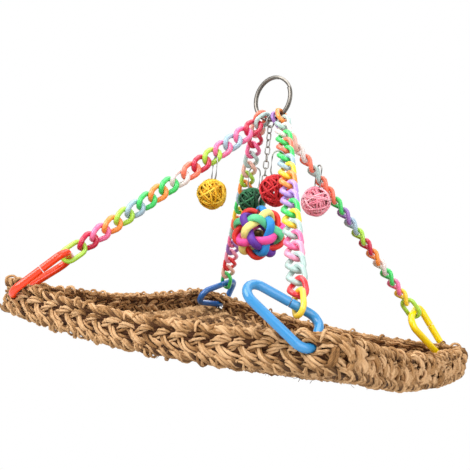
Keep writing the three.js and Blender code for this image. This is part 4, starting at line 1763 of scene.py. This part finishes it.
@dataclass
class RainbowBall:
    """Six soft rings woven into a ball, with a bell inside."""

    diameter: float = 48.0
    tube: float = 4.7
    weave: float = 0.2
    facing_angle: float = 30.0
    soft_width: float = 7.6
    soft_height: float = 5.2
    soft_sides: int = 16
    swell: float = 1.0
    steps: int = 120
    bell: float = 15.0
    bell_wall: float = 0.8
    bell_slot: float = 1.5
    slot_top: float = 0.28
    bell_ridge: Pair = (0.035, 0.9)
    bell_rows: int = 28
    bell_columns: int = 56
    pellet: float = 4.0
    pellet_rows: int = 16
    pellet_columns: int = 24
    pellet_end: float = 0.02
    clearance: float = 0.3
    rings: tuple[tuple[str, str], ...] = (
        ("red", "f03c34"),
        ("blue", "2b92e0"),
        ("green", "66d498"),
        ("yellow", "f3e68a"),
        ("purple", "6635a8"),
        ("pink", "fb57ab"),
    )

    def __post_init__(self) -> None:
        """Works out the rings' axes: one faces the eye and five lean round it, as on a dodecahedron."""
        facing, level = plan_direction(self.facing_angle - 90), plan_direction(self.facing_angle)
        lean = math.atan(2)
        self.axes = [facing]
        for angle in even_angles(len(self.rings) - 1):
            spoke = (level * math.cos(angle) + UP * math.sin(angle)) * math.sin(lean)
            self.axes.append(facing * math.cos(lean) - spoke)
        self.loop_plane = square_to(self.axes[-1], UP)
        self.end_across = UP.cross(self.loop_plane)
        base_radius = (self.diameter / 2 - self.tube / 2) / (1 + self.weave)
        self.under = base_radius * (1 - self.weave) - self.tube / 2

    def _over(self, index: int, crossing: Vector) -> bool:
        """True where a ring passes over at a crossing.

        Args:
            index: the ring's number.
            crossing: direction of the crossing.

        Returns:
            True if it is the outer one there.
        """
        axis = self.axes[index]
        middle = turned(crossing, axis, 90 / (len(self.axes) - 1))
        nearest = max((a * s for a in self.axes for s in (1, -1)), key=lambda v: v.dot(middle))
        return nearest.cross(middle).dot(axis.cross(crossing)) < 0

    def build(self, loop: WireLoop, chain_end: float, chain_wire: float, dressing: Dressing) -> None:
        """Makes the loop, the rings, the bell and its pellet.

        Args:
            loop: the wire loop.
            chain_end: height of the steel chain's lowest wire.
            chain_wire: its wire.
            dressing: shared trees and finishes.
        """
        loop_top = chain_end + chain_wire / 2 + loop.wire / 2 + self.clearance
        loop.build("rainbow", UP * (loop_top - loop.half), self.loop_plane, dressing)
        self.centre = UP * (loop_top - 2 * loop.half + loop.wire / 2 + self.clearance - self.under)
        middle = self.diameter / 2 - self.soft_height + self.swell
        wave = self.soft_height / 2 * np.cos((len(self.rings) - 1) * even_angles(self.steps))
        section = round_section(self.soft_height, self.soft_sides, self.soft_width)
        for i, (name, color) in enumerate(self.rings):
            axis = self.axes[i]
            first = axis.cross(self.axes[1 if i == 0 else 0]).normalized()
            radius = middle + wave if self._over(i, first) else middle - wave
            path = round_path(self.centre, first, axis.cross(first), radius, self.steps)
            finish = SoftTube(f"soft_{name}", color).make()
            ring = sweep(f"{name}_soft_ring", path, section, axis, True, finish)
            dressing.settle(ring, "rainbow_ball", f"rainbow_ring_{name}")
        self._build_bell(dressing)

    def _build_bell(self, dressing: Dressing) -> None:
        """Stamps the bell's shell with its crossed slots, and makes the pellet.

        Args:
            dressing: shared trees and finishes.
        """
        radius = self.bell / 2
        centre = self.centre - UP * (self.under - radius - self.clearance)
        rows = np.arange(self.bell_rows + 1)
        polar = math.pi * rows / self.bell_rows
        height, width = self.bell_ridge
        ridge = 1 + height * np.exp(-(((rows - self.bell_rows / 2) / width) ** 2))
        profile = radius * np.stack([np.sin(polar) * ridge, np.cos(polar)], axis=1)

        def solid(spots: np.ndarray) -> np.ndarray:
            """True where a face is no part of a slot."""
            narrow = np.abs(spots[:, :2]).min(axis=1) < self.bell_slot / 2
            return ~(narrow & (spots[:, 2] < -self.slot_top * radius))

        shell = turned_body("bell_shell", centre, profile, self.bell_columns, solid)
        shell.data.materials.append(DarkBronze("dark_bronze").make())
        wall = shell.modifiers.new("wall", "SOLIDIFY")
        wall.thickness, wall.offset = self.bell_wall * MM, -1
        dressing.settle(shell, "bell", "bell")
        drop = radius - self.bell_wall - self.pellet / 2 - self.clearance
        polar = np.linspace(self.pellet_end, math.pi - self.pellet_end, self.pellet_rows)
        profile = self.pellet / 2 * np.stack([np.sin(polar), np.cos(polar)], axis=1)
        shot = turned_body("steel_shot", centre - UP * drop, profile, self.pellet_columns)
        shot.data.materials.append(SteelWire("shot_steel", "8d9096", 0.3).make())
        dressing.settle(shot, "bell_pellet", "bell_pellet")


@dataclass
class Studio:
    """Pale floor, white surroundings, soft lamps and the camera."""

    azimuth: float = 31.54
    distance: float = 682.3
    shift: float = -21.4
    height: float = -202.7
    pitch: float = 4.66
    roll: float = 6.0
    lens: float = 57.95
    sensor: float = 36.0
    nearest: float = 10.0
    world_light: float = 0.48
    seen_in_gloss: float = 0.45
    floor_half: float = 6000.0
    floor_height: float = -600.0
    floor_color: Color = (0.8, 0.8, 0.8, 1.0)
    aim: Triple = (0.0, 0.0, -0.13)
    lamps: tuple[tuple[str, Triple, float, float], ...] = (
        ("key", (-0.5, -1.1, 0.75), 1.3, 26.0),
        ("fill", (1.2, -0.7, 0.25), 1.2, 12.0),
        ("top", (0.1, 0.1, 1.3), 1.4, 14.0),
        ("back", (-0.4, 1.3, 0.5), 1.2, 6.0),
    )

    def build(self) -> None:
        """Places the camera, the lamps and the floor."""
        scene = bpy.context.scene
        scene.view_settings.view_transform = "Standard"
        self._camera()
        self._world()
        self._floor()
        for name, place, size, power in self.lamps:
            data = bpy.data.lights.new(name, "AREA")
            data.size, data.energy = size, power
            lamp = bpy.data.objects.new(name, data)
            lamp.location = place
            lamp.rotation_euler = (Vector(self.aim) - Vector(place)).to_track_quat("-Z", "Y").to_euler()
            scene.collection.objects.link(lamp)

    def _camera(self) -> None:
        """Places the camera as high as the mat's back corner, looking a little up and rolled."""
        level, right = plan_direction(self.azimuth + 90), plan_direction(self.azimuth)
        forward = turned(level, right, self.pitch)
        data = bpy.data.cameras.new("camera")
        data.lens, data.sensor_width = self.lens, self.sensor
        data.clip_start = self.nearest * MM
        camera = bpy.data.objects.new("camera", data)
        place = level * -self.distance + right * self.shift + UP * self.height
        turn = Matrix((right, right.cross(forward), -forward)).transposed().to_4x4()
        roll = Matrix.Rotation(math.radians(self.roll), 4, "Z")
        camera.matrix_world = Matrix.Translation(place * MM) @ turn @ roll
        bpy.context.scene.collection.objects.link(camera)
        bpy.context.scene.camera = camera

    def _world(self) -> None:
        """Makes surroundings that are white to the eye and softer as a light."""
        world = bpy.data.worlds.new("surroundings")
        bpy.context.scene.world = world
        world.use_nodes = True
        graph = Graph(world.node_tree)
        pale = graph.out("ShaderNodeBackground", {"Color": WHITE, "Strength": 1.0})
        light = graph.out("ShaderNodeBackground", {"Color": WHITE, "Strength": self.world_light})
        mixed = graph.out("ShaderNodeMixShader", {0: self._seen(graph), 1: light, 2: pale})
        graph.add("ShaderNodeOutputWorld", {"Surface": mixed})

    def _seen(self, graph: Graph) -> Sock:
        """One for camera and transmitted rays, and a share of it for glossy ones.

        Args:
            graph: the graph that takes the nodes.

        Returns:
            The factor.
        """
        path = graph.add("ShaderNodeLightPath")
        kinds = ("Camera", "Glossy", "Transmission")
        eye, gloss, through = (Sock(graph, path.outputs[f"Is {kind} Ray"]) for kind in kinds)
        return eye.larger(gloss * self.seen_in_gloss).larger(through)

    def _floor(self) -> None:
        """Lays a pale floor well below the mat."""
        shader = Shader("pale_floor")
        glow = shader.out("ShaderNodeEmission", {"Color": WHITE, "Strength": 1.0})
        matt = shader.out("ShaderNodeBsdfDiffuse", {"Color": self.floor_color})
        mixed = shader.out("ShaderNodeMixShader", {0: self._seen(shader), 1: matt, 2: glow})
        shader.add("ShaderNodeOutputMaterial", {"Surface": mixed}, is_active_output=True)
        corners = [(-1, -1), (1, -1), (1, 1), (-1, 1)]
        points = [(x * self.floor_half, y * self.floor_half, self.floor_height) for x, y in corners]
        floor = show("floor", points, (), [(0, 1, 2, 3)])
        floor.data.materials.append(shader.material)


def make_legs() -> list[Leg]:
    """Lists the legs' places, turns and colours.

    Returns:
        Left, near, right and back leg.
    """
    left = {"clip_color": "f23a0a", "ball_colors": ("d48e06", "eeb012", "f8d24a")}
    left["colors"] = "mint crimson pink sky pink lime crimson coral clear"
    left["colors"] += " green orange green sky lime orange pink crimson lime"
    near = {"clip_color": "2f85be", "ball_colors": ("98101a", "cd1720", "e2343a")}
    near["colors"] = "orange mint clear green coral green sky yellow orange lilac"
    near["colors"] += " lilac green yellow mint pink rose mint mint red yellow"
    right = {"clip_color": "ffde0a", "ball_colors": ("f0849a", "ff9fb0", "ffcdd6")}
    right["colors"] = "purple orange peach clear coral mint coral coral green purple"
    right["colors"] += " sky lime crimson orange clear green pink yellow lime"
    right |= {"flip": -1, "hand": 1, "ball_seed": 38}
    back = {"clip_color": "1f5fa6", "ball_colors": ("0c2a17", "175230", "3a8055")}
    back["colors"] = "coral peach crimson pink mint peach lime orange sky green"
    back["colors"] += " yellow coral mint pink purple rose red peach green"
    return [
        Leg("left", (-1, -1), place=-1, facing=130, **left),
        Leg("near", (1, -1), place=2, facing=50, sideways=True, seen_wire=4.1, **near),
        Leg("right", (1, 1), place=1, facing=100, seen_wire=4.2, **right),
        Leg("back", (-1, 1), place=-2, facing=70, sideways=True, seen_wire=4.1, **back),
    ]


def main() -> None:
    """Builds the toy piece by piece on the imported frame."""
    logging.basicConfig(level=logging.INFO, format="%(message)s")
    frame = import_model()
    Studio().build()
    dressing = Dressing({part["node"]: part["material_slot"] for part in frame["record"]["subparts"]})
    ring, shape, mat = SplitRing(), ClipShape(), SeagrassMat()
    legs = make_legs()
    for leg in legs:
        leg.lay_out(ring, shape, mat.foot_along, mat.rim_half)
    mat.hang(legs)
    ring.build(dressing)
    for leg in legs:
        leg.build(dressing)
    mat.build(dressing)
    chain, ball = ToyChain(), RainbowBall()
    chain_end = chain.build(ring, ball.end_across, dressing)
    ball.build(WireLoop(), chain_end, chain.wire, dressing)
    dressing.tidy()


if __name__ == "__main__":
    main()
